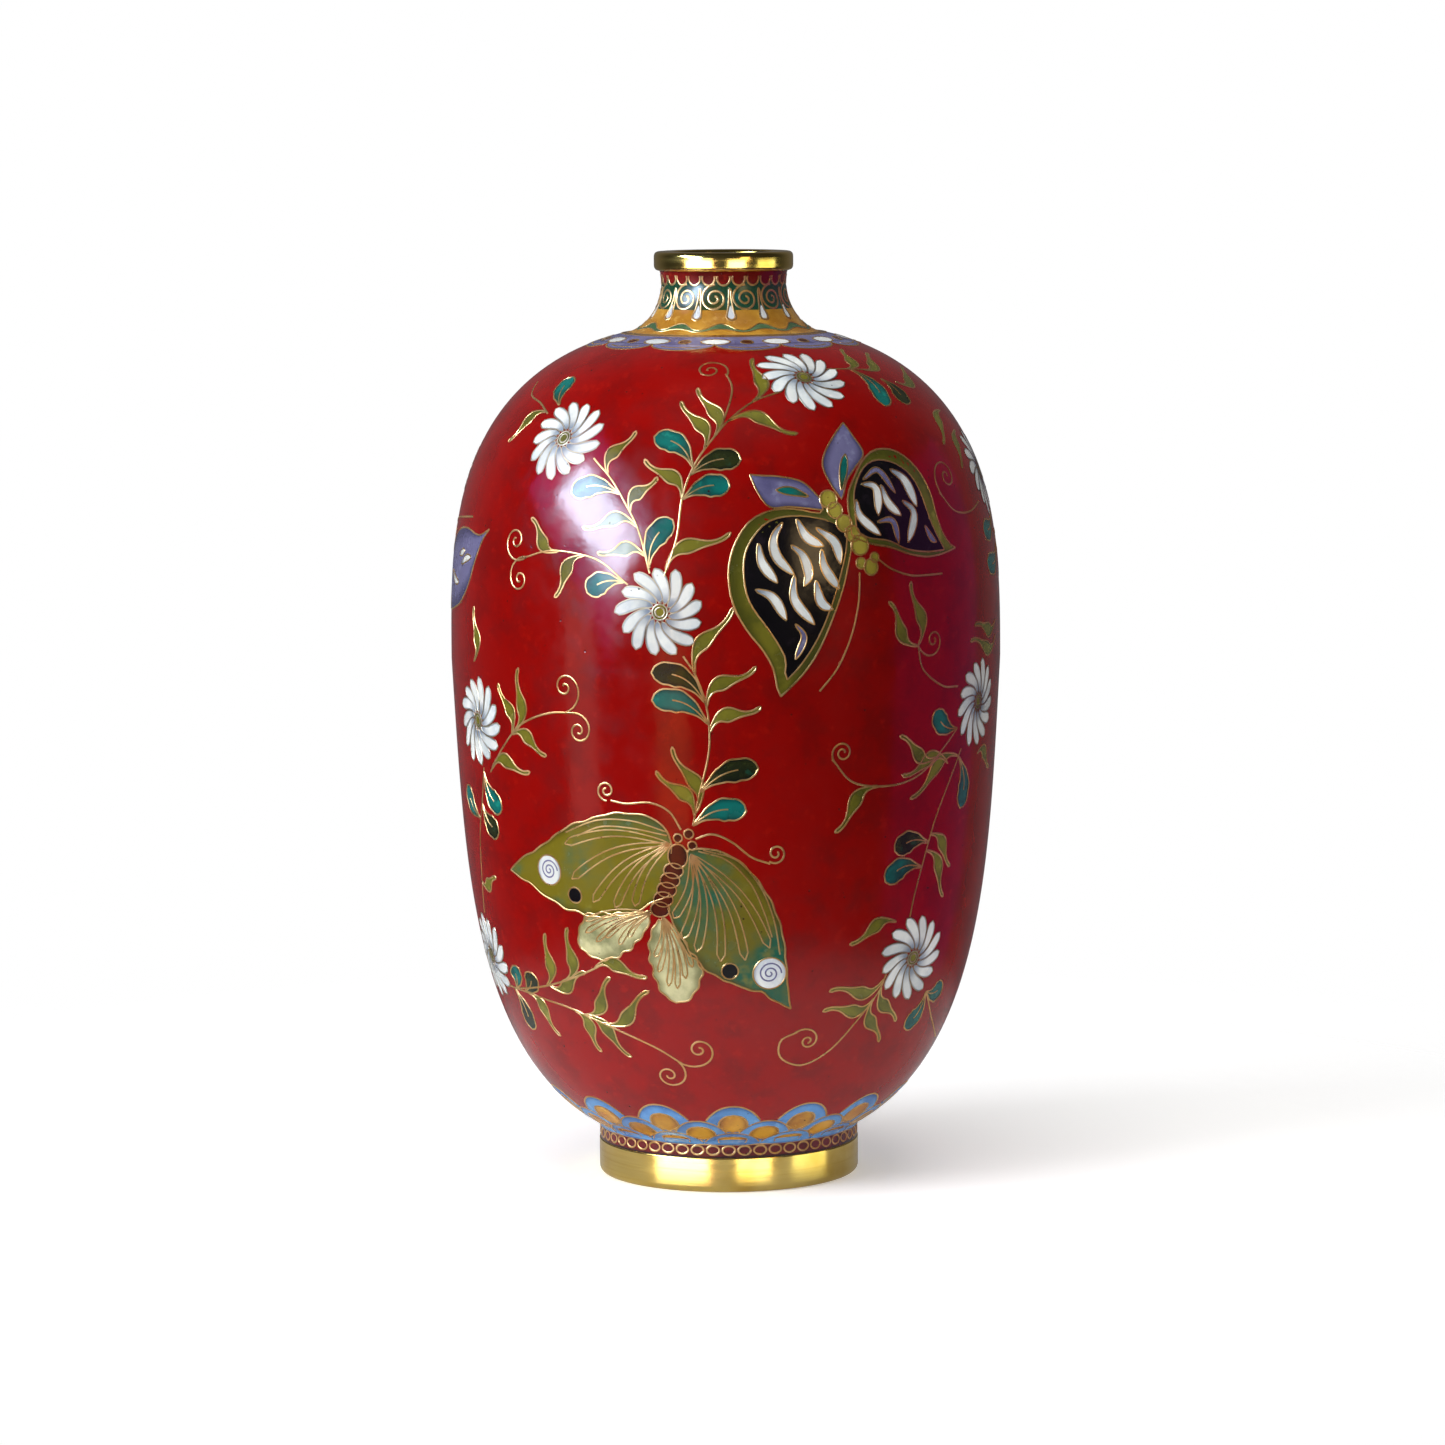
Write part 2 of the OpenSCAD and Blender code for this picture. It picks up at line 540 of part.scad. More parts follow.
// The wire round a wing: the skin between the outline and a slightly larger one
module wing_rim(p, h) {
  m = middle(p);
  v = [for (q = p) q[1]];
  shape = flat_outline(p);
  intersection() {
    skin(min(v), max(v), 0, h);
    on_wall(m[0], m[1], 0, -cut_under) linear_extrude(height = cut_h) difference() {
      scale(rim_share) polygon(shape);
      polygon(shape);
    }
  }
}
module on_both(list) { for (face = FACES, p = list) rotate([0, 0, face]) { $outline = p; children(); } }
module black_wings() { color(BLACK) on_both([BLACK_LEFT, BLACK_RIGHT]) wing($outline, cell_h); }
module olive_wings() { color(OLIVE_COLOUR) on_both([OLIVE_LEFT, OLIVE_RIGHT]) wing($outline, cell_h); }
module blue_wings() { color(LAVENDER) for (p = BLUE_OUTLINES) wing(p, cell_h); }
module hind_wings() {
  color(CREAM) on_both([HIND_LEFT, HIND_RIGHT, CREAM_LEFT, CREAM_RIGHT]) wing($outline, cell_h);
}
module wing_wires() {
  color(GILT) {
    on_both([BLACK_LEFT, BLACK_RIGHT, OLIVE_LEFT, OLIVE_RIGHT, HIND_LEFT, HIND_RIGHT, CREAM_LEFT,
      CREAM_RIGHT]) wing_rim($outline, wire_h);
    for (p = BLUE_OUTLINES) wing_rim(p, wire_h);
  }
}

// White dashes on the black and blue wings: angle, distance, turn
DASHES = [[6, 108, 160], [10.5, 112, 150], [12, 105, 170], [16, 110, 160], [18, 102, 185], [8, 100, 165],
  [13, 98, 175], [20, 107, 190], [35, 119, 40], [39, 115, 10], [43, 118, 30], [46.5, 113, 60], [38, 121.5, 60]];
BLUE_DASHES = [[10, 3], [15, 4.5], [21, 3], [14, -3], [20, -1]];
dash_h = 0.15;
dash_l = 4;
dash_w = 0.9;
dash_turn = 60;
module dash() {
  translate([0, -dash_l / 2]) linear_extrude(height = dash_h) pointed_oval(dash_l, dash_w);
}
module wing_dashes() {
  color(WHITE) {
    for (face = FACES, d = DASHES) rotate([0, 0, face]) on_wall(d[0], d[1], d[2], cell_h) dash();
    for (b = BLUE_ONES, side = [-1, 1], d = BLUE_DASHES)
      on_wall(b[0] + side * b[2] * d[0], b[1] + b[2] * d[1], side * dash_turn, cell_h) dash();
  }
}

// Round spots on the olive wings: angle, distance, radius
SPOTS = [[-41, 57, 2.4], [-34.4, 53.4, 1.3], [0.5, 41.5, 1.3], [9.2, 41, 2.4]];
module wing_spots() {
  color(WHITE) for (face = FACES, s = SPOTS) rotate([0, 0, face]) on_wall(s[0], s[1], 0, cell_h)
    cylinder(r = s[2], h = dash_h);
}

// Bodies: a row of rounded segments from the head to the tail
BODIES = [[31, 107.5, 21.8, 118], [-10, 64.5, -15, 50.5]];
segments = 6;
body_r = 1.2;
// The third segment is the fullest, and the others shrink away from it
module body_row(from, to, r) {
  for (k = [0 : segments - 1]) {
    at = from + (to - from) * k / (segments - 1);
    on_wall(at[0], at[1], 0, wire_h) cylinder(r = r * (1 - 0.5 * abs(k - 2) / segments), h = cell_h);
  }
}
module butterfly_bodies() {
  color(OCHRE) {
    for (face = FACES, b = BODIES) rotate([0, 0, face]) body_row([b[0], b[1]], [b[2], b[3]], body_r);
    for (b = BLUE_ONES) body_row([b[0], b[1] + 6 * b[2]], [b[0], b[1] - 6 * b[2]], body_r * b[2]);
  }
}

// Antennae
FEELERS = [
  [[32, 106.5], [37, 104.6], [43, 104.4], [50, 105]],
  [[30.5, 105.8], [29, 100], [25, 93.5], [19.5, 87.5]],
  [[-11, 66], [-15, 68.5], [-20, 69.4], [-24.3, 70.2]],
  [[-8.5, 65], [-4, 66], [1, 65.2], [6, 62.5], [9, 60.6]]
];
module antenna_wires() {
  color(GILT) for (face = FACES, points = FEELERS) rotate([0, 0, face]) wall_wire(points);
}

lower_body_shell();
upper_body_shell();
neck_shell();
base_plate();
foot_ring();
mouth_ring();
lining_enamel();
base_enamel();
ground_enamel();
foot_band_enamel();
scale_band_enamel();
lappet_band_enamel();
ochre_band_enamel();
green_band_enamel();
maroon_band_enamel();
border_wires();
foot_loop_wires();
scale_wires();
scale_blues();
scale_hearts();
lappets();
lappet_lozenges();
shoulder_ovals();
lappet_wires();
wavy_cells();
drop_cells();
drop_wires();
spiral_wires();
scallop_wires();
stem_wires();
curl_wires();
leaf_wires();
olive_leaves();
teal_leaves();
dark_leaves();
petal_cells();
petal_wires();
daisy_hearts();
black_wings();
olive_wings();
blue_wings();
hind_wings();
wing_dashes();
wing_wires();
wing_spots();
butterfly_bodies();
antenna_wires();
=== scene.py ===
# %% [markdown]
# # A cloisonne vase
# Cloisonne is copper dressed in coloured glass. Thin gilt strips stand on edge on the copper and fence off
# small cells, each cell is filled with enamel paste, and the whole skin is fired and ground smooth. So the
# model is built in that order too: one curve for the wall, then enamel layers, cells and wires laid on it.

# %% Load the frame
import math

import bpy
import numpy as np
from mathutils import Matrix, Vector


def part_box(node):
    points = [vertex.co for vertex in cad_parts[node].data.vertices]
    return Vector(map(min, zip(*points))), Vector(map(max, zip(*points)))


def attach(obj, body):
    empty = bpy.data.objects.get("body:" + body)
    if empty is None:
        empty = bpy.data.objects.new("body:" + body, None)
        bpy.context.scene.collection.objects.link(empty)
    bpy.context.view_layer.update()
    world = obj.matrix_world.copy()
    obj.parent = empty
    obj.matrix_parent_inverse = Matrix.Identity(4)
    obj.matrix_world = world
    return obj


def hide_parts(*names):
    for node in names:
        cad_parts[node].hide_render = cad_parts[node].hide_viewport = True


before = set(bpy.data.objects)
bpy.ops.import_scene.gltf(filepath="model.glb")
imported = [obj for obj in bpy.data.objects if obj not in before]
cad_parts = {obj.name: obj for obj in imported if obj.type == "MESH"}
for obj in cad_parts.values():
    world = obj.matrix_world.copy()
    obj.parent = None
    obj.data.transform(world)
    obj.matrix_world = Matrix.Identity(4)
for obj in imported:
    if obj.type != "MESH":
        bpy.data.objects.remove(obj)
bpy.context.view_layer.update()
MM = 0.001
vase_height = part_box("mouth_ring")[1][2] / MM
print("height of the vase in mm:", round(vase_height, 1))

# %% [markdown]
# ## The camera
# A long lens from a little above the shoulder, nearly a metre away. It comes first, so that every later
# piece can be looked at from the same place.

# %% Camera
CAMERA_AT = (0.0, -905.7 * MM, 180.9 * MM)
LOOK_AT = (0.0, 0.0, 76.2 * MM)
LENS_MM = 134.8
LEAN_DEG = 0.35


def aim(thing, target):
    """Turns an object so that its -Z axis points at the target and its Y axis stays up."""
    line = np.array(target) - np.array(thing.location)
    flat = math.hypot(line[0], line[1])
    thing.rotation_euler = (math.atan2(flat, -line[2]), 0.0, math.atan2(-line[0], line[1]))


lens = bpy.data.cameras.new("camera")
lens.lens = LENS_MM
lens.sensor_width = 36.0
camera = bpy.data.objects.new("camera", lens)
bpy.context.scene.collection.objects.link(camera)
camera.location = CAMERA_AT
aim(camera, LOOK_AT)
camera.rotation_euler[1] = math.radians(LEAN_DEG)
bpy.context.scene.camera = camera
print("camera distance in m:", round(math.dist(CAMERA_AT, LOOK_AT), 3))

# %% [markdown]
# ## The wall as one curve
# A raised copper body has no flat spot, and two superellipse quarters follow it well: a full one for the
# shoulder, and one that tapers towards the foot. A short fillet joins the foot, and part of an ellipse makes
# the hollow neck. Everything on the vase is then placed by two numbers that a decorator would use: the angle
# round the vase, and the distance up the wall measured along the surface with a tape.

# %% Meridian of the outer enamel
BELLY_R, BELLY_Z = 46.1, 87.5
SHOULDER_H, LOWER_H, TAPER = 56.0, 82.7, 0.093
SHOULDER_FALL, SHOULDER_ROUND = 3.05, 2.45
LOWER_FALL, LOWER_ROUND = 3.64, 2.81
FOOT_H, FOOT_JOINT_R = 5.9, 21.8
FILLET_LOW_Z, FILLET_PULL_Z, FILLET_Z = 7.6, 8.5, 9.2
NECK_START_Z, NECK_Z, NECK_R = 142.0, 150.3, 10.4
NECK_HOLLOW_W, NECK_HOLLOW_H, NECK_SWING_DEG = 7.6, 8.6, 78
MOUTH_JOINT_Z, MOUTH_FLARE = 152.2, 0.3


def shoulder_radius(z):
    """R (1 - t^fall)^(1/round), with t the height over the belly as a share of the shoulder's height."""
    t = (z - BELLY_Z) / SHOULDER_H
    return BELLY_R * (1 - t**SHOULDER_FALL) ** (1 / SHOULDER_ROUND)


def lower_radius(z):
    """R (1 - taper t)(1 - t^fall)^(1/round), with t the depth under the belly as a share of its depth."""
    t = (BELLY_Z - z) / LOWER_H
    return BELLY_R * (1 - TAPER * t) * (1 - t**LOWER_FALL) ** (1 / LOWER_ROUND)


def meridian():
    """Radius and height along the wall: upright foot, quadratic fillet, two superellipses, ellipse neck."""
    u = np.linspace(0.05, 1, 20)
    ease = np.linspace(0, 1, 400)[1:]
    turn = np.radians(np.linspace(NECK_SWING_DEG, 0, 60))[1:]
    r_fillet = lower_radius(FILLET_Z)
    low_z = BELLY_Z - (BELLY_Z - FILLET_Z) * np.cos(ease * math.pi / 2)
    high_z = BELLY_Z + (NECK_START_Z - BELLY_Z) * np.sin(ease * math.pi / 2)
    top_z = np.linspace(NECK_Z, MOUTH_JOINT_Z, 12)[1:]
    r = [
        np.full(10, FOOT_JOINT_R),
        FOOT_JOINT_R * (1 - u**2) + r_fillet * u**2,
        lower_radius(low_z),
        shoulder_radius(high_z),
        NECK_R + NECK_HOLLOW_W * (1 - np.cos(turn)),
        NECK_R + MOUTH_FLARE * ((top_z - NECK_Z) / (MOUTH_JOINT_Z - NECK_Z)) ** 2,
    ]
    z = [
        np.linspace(FOOT_H, FILLET_LOW_Z, 10),
        FILLET_LOW_Z * (1 - u) ** 2 + FILLET_PULL_Z * 2 * u * (1 - u) + FILLET_Z * u**2,
        low_z,
        high_z,
        NECK_Z - NECK_HOLLOW_H * np.sin(turn),
        top_z,
    ]
    return np.concatenate(r), np.concatenate(z)


raw_r, raw_z = meridian()
raw_up = np.concatenate([[0], np.cumsum(np.hypot(np.diff(raw_r), np.diff(raw_z)))])
WALL_UP = np.linspace(0, raw_up[-1], 1600)
WALL_R = np.interp(WALL_UP, raw_up, raw_r)
WALL_Z = np.interp(WALL_UP, raw_up, raw_z)
SOFTEN = 15
soft = np.hanning(2 * SOFTEN + 1)
soft /= soft.sum()
slope_r, slope_z = (
    np.convolve(np.pad(np.gradient(along), SOFTEN, mode="edge"), soft, "valid") for along in (WALL_R, WALL_Z)
)
slope = np.hypot(slope_r, slope_z)
OUT_R, OUT_Z = slope_z / slope, -slope_r / slope
print("length of the wall in mm:", round(float(WALL_UP[-1]), 1))

# %% A place on the wall


def radius_at(up):
    """Radius of the wall at a distance up it."""
    return np.interp(up, WALL_UP, WALL_R)


def outward(angle, up):
    """Unit vector square to the wall."""
    a = np.radians(angle)
    r, z = np.interp(up, WALL_UP, OUT_R), np.interp(up, WALL_UP, OUT_Z)
    return np.stack([r * np.sin(a), -r * np.cos(a), z], -1)


def wall(angle, up, lift):
    """Point at an angle (0 at the front, growing to the right), a distance up the wall and a lift over it:
    the point of the meridian turned round the axis, moved along the normal."""
    a = np.radians(angle)
    r = radius_at(up)
    spot = np.stack([r * np.sin(a), -r * np.cos(a), np.interp(up, WALL_UP, WALL_Z)], -1)
    return spot + outward(angle, up) * np.asarray(lift)[..., None]


def beside(angle, up, x, y):
    """The place x mm to the right of and y mm above another, both measured on the wall."""
    high = up + y
    return np.stack([angle + np.degrees(x / radius_at(high)), high], -1)


def flat(a, b):
    """From place a to place b in mm on the wall: to the right, and up."""
    wide = np.radians(b[0] - a[0]) * radius_at((a[1] + b[1]) / 2)
    return np.array([wide, b[1] - a[1]])


print("radius in mm 100 mm up the wall:", round(float(radius_at(100.0)), 1))

# %% [markdown]
# ## Closed strips
# Cells and wires are both long closed strips: a row of points runs across the top of the strip and back
# underneath, the row is carried along the strip, and both ends are closed. One face list serves both.

# %% Faces of a closed strip


def strip_faces(rows, ring):
    """Quads of a grid of rows x ring that is closed round the ring, with each end closed by folding the
    ring flat: point j of the upper half joins point ring-1-j of the lower half."""
    i, j = np.meshgrid(np.arange(rows - 1), np.arange(ring), indexing="ij")
    here, right = i * ring + j, i * ring + (j + 1) % ring
    sides = np.stack([here, right, right + ring, here + ring], -1).reshape(-1, 4)
    k = np.arange(ring // 2 - 1)
    first = np.stack([k + 1, k, ring - 1 - k, ring - 2 - k], -1)
    last = first[:, ::-1] + (rows - 1) * ring
    return np.concatenate([sides, first, last])


def ring_faces(rows, ring):
    """Quads of a closed torus-like grid: both directions wrap round."""
    i, j = np.meshgrid(np.arange(rows), np.arange(ring), indexing="ij")
    up, right = (i + 1) % rows, (j + 1) % ring
    return np.stack([i * ring + j, i * ring + right, up * ring + right, up * ring + j], -1).reshape(-1, 4)


print("faces of a strip of 10 rows of 6 points:", len(strip_faces(10, 6)))

# %% From points to a piece
SHARP_DEG = 38


def make_piece(name, parts, material, nodes):
    """Joins parts (points in mm, quads, place across and along, tone) into one mesh object, and hides the
    CAD nodes it stands for."""
    points = np.concatenate([p[0].reshape(-1, 3) for p in parts]) * MM
    counts = [p[0].size // 3 for p in parts]
    starts = np.cumsum([0] + counts[:-1])
    quads = np.concatenate([p[1] + start for p, start in zip(parts, starts, strict=True)])
    across = np.concatenate([p[2].reshape(-1, 2) for p in parts])
    tone = np.repeat([p[3] for p in parts], counts)
    mesh = bpy.data.meshes.new(name)
    mesh.vertices.add(len(points))
    mesh.vertices.foreach_set("co", points.astype(np.float32).ravel())
    mesh.loops.add(quads.size)
    mesh.loops.foreach_set("vertex_index", quads.astype(np.int32).ravel())
    mesh.polygons.add(len(quads))
    mesh.polygons.foreach_set("loop_start", np.arange(0, quads.size, 4, dtype=np.int32))
    mesh.polygons.foreach_set("loop_total", np.full(len(quads), 4, np.int32))
    mesh.update(calc_edges=True)
    uv = mesh.uv_layers.new(name="place")
    uv.data.foreach_set("uv", across[quads.ravel()].astype(np.float32).ravel())
    mark = mesh.attributes.new("tone", "FLOAT", "POINT")
    mark.data.foreach_set("value", tone.astype(np.float32))
    mesh.polygons.foreach_set("use_smooth", np.ones(len(quads), bool))
    mesh.set_sharp_from_angle(angle=math.radians(SHARP_DEG))
    mesh.materials.append(material)
    piece = bpy.data.objects.new(name, mesh)
    bpy.context.scene.collection.objects.link(piece)
    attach(piece, "root")
    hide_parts(*nodes)
    print(f"{name}: {len(parts)} parts, {2 * len(quads)} triangles")
    return piece


# %% [markdown]
# ## Curves drawn on the wall
# A wire is bent by eye through a few places. A Catmull-Rom curve does the same with numbers: it passes
# through every place and leaves each one in the direction of its neighbours.

# %% Curves and scrolls
STEP = 0.5


def measured(line):
    """Distance along a line of places, in mm on the wall."""
    wide = np.radians(np.diff(line[:, 0])) * radius_at((line[1:, 1] + line[:-1, 1]) / 2)
    return np.concatenate([[0], np.cumsum(np.hypot(wide, np.diff(line[:, 1])))])


def even(line, count):
    """The same line with evenly spaced places."""
    far = measured(line)
    at = np.linspace(0, far[-1], count)
    return np.stack([np.interp(at, far, line[:, 0]), np.interp(at, far, line[:, 1])], -1)


def smooth(places, step=STEP):
    """Catmull-Rom: half of 2b + (c-a)t + (2a-5b+4c-d)t^2 + (3b-a-3c+d)t^3 between places b and c."""
    p = np.asarray(places, float)
    p = np.concatenate([[2 * p[0] - p[1]], p, [2 * p[-1] - p[-2]]])
    t = np.linspace(0, 1, 16, endpoint=False)[None, :, None]
    a, b, c, d = (p[k : len(p) - 3 + k, None, :] for k in range(4))
    curve = 2 * b + (c - a) * t + (2 * a - 5 * b + 4 * c - d) * t**2 + (3 * b - a - 3 * c + d) * t**3
    line = 0.5 * curve
    line = np.concatenate([line.reshape(-1, 2), p[-2:-1]])
    return even(line, max(int(measured(line)[-1] / step), 4) + 1)


def spiral(angle, up, radius, start, turns, end=0.35):
    """A spiral round a place: its radius shrinks from the first value to the last while it turns."""
    u = np.linspace(0, 1, int(26 * abs(turns)) + 6)
    r = end + (radius - end) * (1 - u) ** 1.1
    a = np.radians(start + 360 * turns * u)
    return beside(angle, up, r * np.cos(a), r * np.sin(a))


print("places on a spiral of two turns:", len(spiral(0, 165, 2.35, 90, 2.0)))

# %% Wires and cells
WIRE_W, WIRE_UP = 0.32, 0.07
CELL_UP, MARK_UP = 0.02, 0.03
SINK = 0.12
EVEN_TONE = 0.5


def wire(line, width=WIRE_W, lift=WIRE_UP):
    """A gilt strip: a low rounded section of six points set square to the line on the wall."""
    turn, up = line[:, 0], line[:, 1]
    spot = wall(turn, up, 0.0 * up)
    ahead = np.gradient(spot, axis=0)
    ahead /= np.linalg.norm(ahead, axis=1)[:, None] + 1e-9
    out = outward(turn, up)
    right = np.cross(ahead, out)
    x = np.array([-0.5, -0.28, 0.28, 0.5, 0.36, -0.36]) * width
    h = np.array([0.3 * lift, lift, lift, 0.3 * lift, -SINK, -SINK])
    points = spot[:, None] + right[:, None] * x[None, :, None] + out[:, None] * h[None, :, None]
    far = np.linspace(0, 1, len(line))
    place = np.stack(np.broadcast_arrays(np.linspace(0, 1, 6)[None], far[:, None]), -1)
    return points, strip_faces(len(line), 6), place, EVEN_TONE


def cell(left, right, lift=CELL_UP, tone=EVEN_TONE, columns=4):
    """A cell of enamel between two edges: straight lines from edge to edge on the wall, raised by the lift,
    with its underside sunk into the ground."""
    w = np.linspace(0, 1, columns)
    grid = left[:, None] * (1 - w)[None, :, None] + right[:, None] * w[None, :, None]
    d0, d1 = grid[1:, :-1] - grid[:-1, :-1], grid[:-1, 1:] - grid[:-1, :-1]
    if np.sum(d1[..., 0] * d0[..., 1] - d1[..., 1] * d0[..., 0]) < 0:
        grid = grid[:, ::-1]
    top = wall(grid[..., 0], grid[..., 1], np.full(grid.shape[:2], lift))
    under = wall(grid[:, ::-1, 0], grid[:, ::-1, 1], np.full(grid.shape[:2], -SINK))
    points = np.concatenate([top, under], 1)
    far = np.linspace(0, 1, len(left))
    place = np.stack(np.broadcast_arrays(np.concatenate([w, w[::-1]])[None], far[:, None]), -1)
    return points, strip_faces(len(left), 2 * columns), place, tone


def edges(line, half):
    """The two lines a half width to the left and to the right of a line."""
    turn, up = line[:, 0], line[:, 1]
    d = np.stack([np.gradient(np.radians(turn)) * radius_at(up), np.gradient(up)], -1)
    d /= np.linalg.norm(d, axis=1)[:, None] + 1e-9
    x, y = -d[:, 1] * half, d[:, 0] * half
    return beside(turn, up, x, y), beside(turn, up, -x, -y)


def round_trip(left, right):
    """One line up the right edge and back down the left one: the wire round a cell."""
    return np.concatenate([right, left[::-1]])


print("a wire is", WIRE_W, "mm wide")

# %% [markdown]
# ## Enamel that looks ground, not painted
# Each enamel is glass grains packed wet into a cell and melted. It is never even: darker where the layer is
# thick, paler where grains of another batch fell in, pitted where a bubble opened under the grinding stone.
# Every colour here is therefore a main tone clouded by noise with a deeper and a paler one, with pits and a
# faint ripple in the gloss.

# %% Colours and shader helpers


def paint(red, green, blue):
    """A colour given as screen values of 0 to 255, turned to the linear values that shaders use."""
    c = np.array([red, green, blue]) / 255
    c = np.where(c < 0.04045, c / 12.92, ((c + 0.055) / 1.055) ** 2.4)
    return (*c.tolist(), 1.0)


def feed(tree, socket, value):
    """Links an output to a socket, or sets the socket to a plain value."""
    if isinstance(value, bpy.types.NodeSocket):
        tree.links.new(value, socket)
    else:
        socket.default_value = value


def add(tree, kind, inputs, output=0, **settings):
    """Adds a node with the given settings and inputs, and returns one of its outputs."""
    made = tree.nodes.new(kind)
    for key, value in settings.items():
        setattr(made, key, value)
    for key, value in inputs.items():
        feed(tree, made.inputs[key], value)
    return made.outputs[output]


def blend(tree, amount, a, b):
    """Colour a moved towards colour b by an amount."""
    return add(tree, "ShaderNodeMix", {0: amount, 6: a, 7: b}, 2, data_type="RGBA")


def ramp(tree, value, low, high, start=0.0, end=1.0):
    """A value taken smoothly from start to end while it goes from low to high."""
    inputs = {0: value, 1: low, 2: high, 3: start, 4: end}
    return add(tree, "ShaderNodeMapRange", inputs, interpolation_type="SMOOTHSTEP")


def noise(tree, where, scale, detail=4.0, rough=0.55, stretch=None):
    """Noise in the object's own space; stretch squeezes it along each axis first."""
    if stretch:
        where = add(tree, "ShaderNodeMapping", {0: where, 3: stretch})
    inputs = {"Vector": where, "Scale": scale, "Detail": detail, "Roughness": rough}
    return add(tree, "ShaderNodeTexNoise", inputs)


def maths(tree, how, a, b=0.0, c=0.0):
    """One sum or product of two or three values."""
    return add(tree, "ShaderNodeMath", {0: a, 1: b, 2: c}, operation=how)


def start_material(name):
    """A new material: its node tree, its surface shader and the place of the surface in the object."""
    material = bpy.data.materials.new(name)
    material.use_nodes = True
    tree = material.node_tree
    where = tree.nodes.new("ShaderNodeTexCoord").outputs["Object"]
    return material, tree, tree.nodes["Principled BSDF"], where


print("linear value of a middle grey:", round(paint(128, 128, 128)[0], 3))

# %% Enamel
GLASS_IOR = 1.53
PIT = (35, 12, 10)


def enamel(name, main, deep, light, edge=None, low=None, edge_share=0.5, pits=1.0, gloss=0.2, grain=1.0):
    """Fired enamel: the main colour clouded with a deep and a light one, specks, dark pits, a rippled gloss.
    edge: painted shade along the sides of a cell, next to its wires. low: colour at the foot of a cell or
    band, with its two limits."""
    material, tree, shader, where = start_material(name)
    main, deep, light = (paint(*shade) for shade in (main, deep, light))
    clouds = noise(tree, where, 150.0 * grain, 5.0, 0.6)
    colour = blend(tree, ramp(tree, clouds, 0.42, 0.66), main, deep)
    batches = noise(tree, where, 420.0 * grain, 3.0, 0.65)
    colour = blend(tree, ramp(tree, batches, 0.56, 0.74, 0.0, 0.75), colour, light)
    place = tree.nodes.new("ShaderNodeUVMap")
    place.uv_map = "place"
    axes = tree.nodes.new("ShaderNodeSeparateXYZ")
    tree.links.new(place.outputs[0], axes.inputs[0])
    if low:
        wander = maths(tree, "MULTIPLY_ADD", maths(tree, "SUBTRACT", batches, 0.5), 0.25, axes.outputs[1])
        colour = blend(tree, ramp(tree, wander, low[1], low[2], 0.9, 0.0), colour, paint(*low[0]))
    # Painted shade: the sides of each cell, next to its wires, are darkened towards the edge colour.
    if edge:
        side = maths(tree, "ABSOLUTE", maths(tree, "MULTIPLY_ADD", axes.outputs[0], 2.0, -1.0))
        edge_shade = ramp(tree, side, 1.0 - edge_share, 1.0, 0.0, 0.85)
        colour = blend(tree, edge_shade, colour, paint(*edge))
    firing = add(tree, "ShaderNodeAttribute", {}, 2, attribute_name="tone")
    bright = maths(tree, "MULTIPLY_ADD", firing, 0.5, 0.75)
    colour = add(tree, "ShaderNodeHueSaturation", {"Color": colour, "Value": bright})
    bubbles = add(tree, "ShaderNodeTexVoronoi", {"Vector": where, "Scale": 700.0}, feature="F1")
    sparse = ramp(tree, noise(tree, where, 260.0, 2.0), 0.58, 0.64)
    hole = maths(tree, "MULTIPLY", ramp(tree, bubbles, 0.08, 0.16, 1.0, 0.0), sparse)
    hole = maths(tree, "MULTIPLY", hole, pits)
    colour = blend(tree, hole, colour, paint(*PIT))
    feed(tree, shader.inputs["Base Color"], colour)
    polish = ramp(tree, noise(tree, where, 300.0), 0.3, 0.7, gloss * 0.75, gloss * 1.4)
    feed(tree, shader.inputs["Roughness"], polish)
    ripple = maths(tree, "SUBTRACT", noise(tree, where, 230.0, 3.0), hole)
    bump = {"Strength": 0.25, "Distance": 0.0002, "Height": ripple}
    feed(tree, shader.inputs["Normal"], add(tree, "ShaderNodeBump", bump))
    shader.inputs["IOR"].default_value = GLASS_IOR
    return material


# Every edge colour below is painted shade along the sides of the cells, next to their wires.
RED = enamel("red_enamel", (136, 5, 3), (120, 5, 4), (148, 15, 6), pits=0.7, gloss=0.15)
MAROON = enamel("maroon_enamel", (96, 18, 20), (62, 12, 16), (130, 34, 26), low=((28, 14, 12), 0.02, 0.22))
MAROON_PLAIN = enamel("maroon_enamel_plain", (122, 22, 18), (84, 12, 14), (150, 38, 24))
BROWN = enamel("brown_enamel", (78, 26, 14), (48, 14, 10), (104, 46, 24), edge=(30, 12, 8))
OCHRE_BAND = enamel(
    "ochre_enamel_band", (188, 140, 52), (158, 108, 32), (204, 166, 84), low=((58, 36, 24), 0.1, 0.17)
)
OCHRE = enamel("ochre_enamel", (190, 138, 44), (156, 96, 30), (208, 164, 70), edge=(120, 72, 28))
YELLOW = enamel("yellow_enamel", (160, 148, 54), (126, 112, 34), (186, 176, 84), edge=(96, 84, 26))
GREEN = enamel("green_enamel", (30, 72, 52), (58, 62, 20), (24, 104, 104), grain=0.5)
BLUE = enamel(
    "blue_enamel", (88, 142, 196), (62, 108, 168), (128, 176, 214), edge=(40, 66, 118), edge_share=0.3
)
LAVENDER = enamel("lavender_enamel", (112, 110, 150), (88, 86, 128), (138, 140, 176), edge=(58, 54, 90))
TEAL = enamel(
    "teal_enamel", (12, 102, 96), (8, 62, 60), (26, 140, 126),
    edge=(8, 46, 46), low=((52, 62, 26), 0.1, 0.55),
)
OLIVE_WING = enamel(
    "olive_enamel_wing", (108, 98, 22), (20, 92, 72), (128, 120, 44),
    edge=(70, 64, 16), edge_share=0.2, grain=0.5,
)
OLIVE = enamel(
    "olive_enamel", (112, 108, 34), (84, 84, 26), (138, 134, 58),
    edge=(60, 62, 20), low=((84, 88, 30), 0.0, 0.4),
)
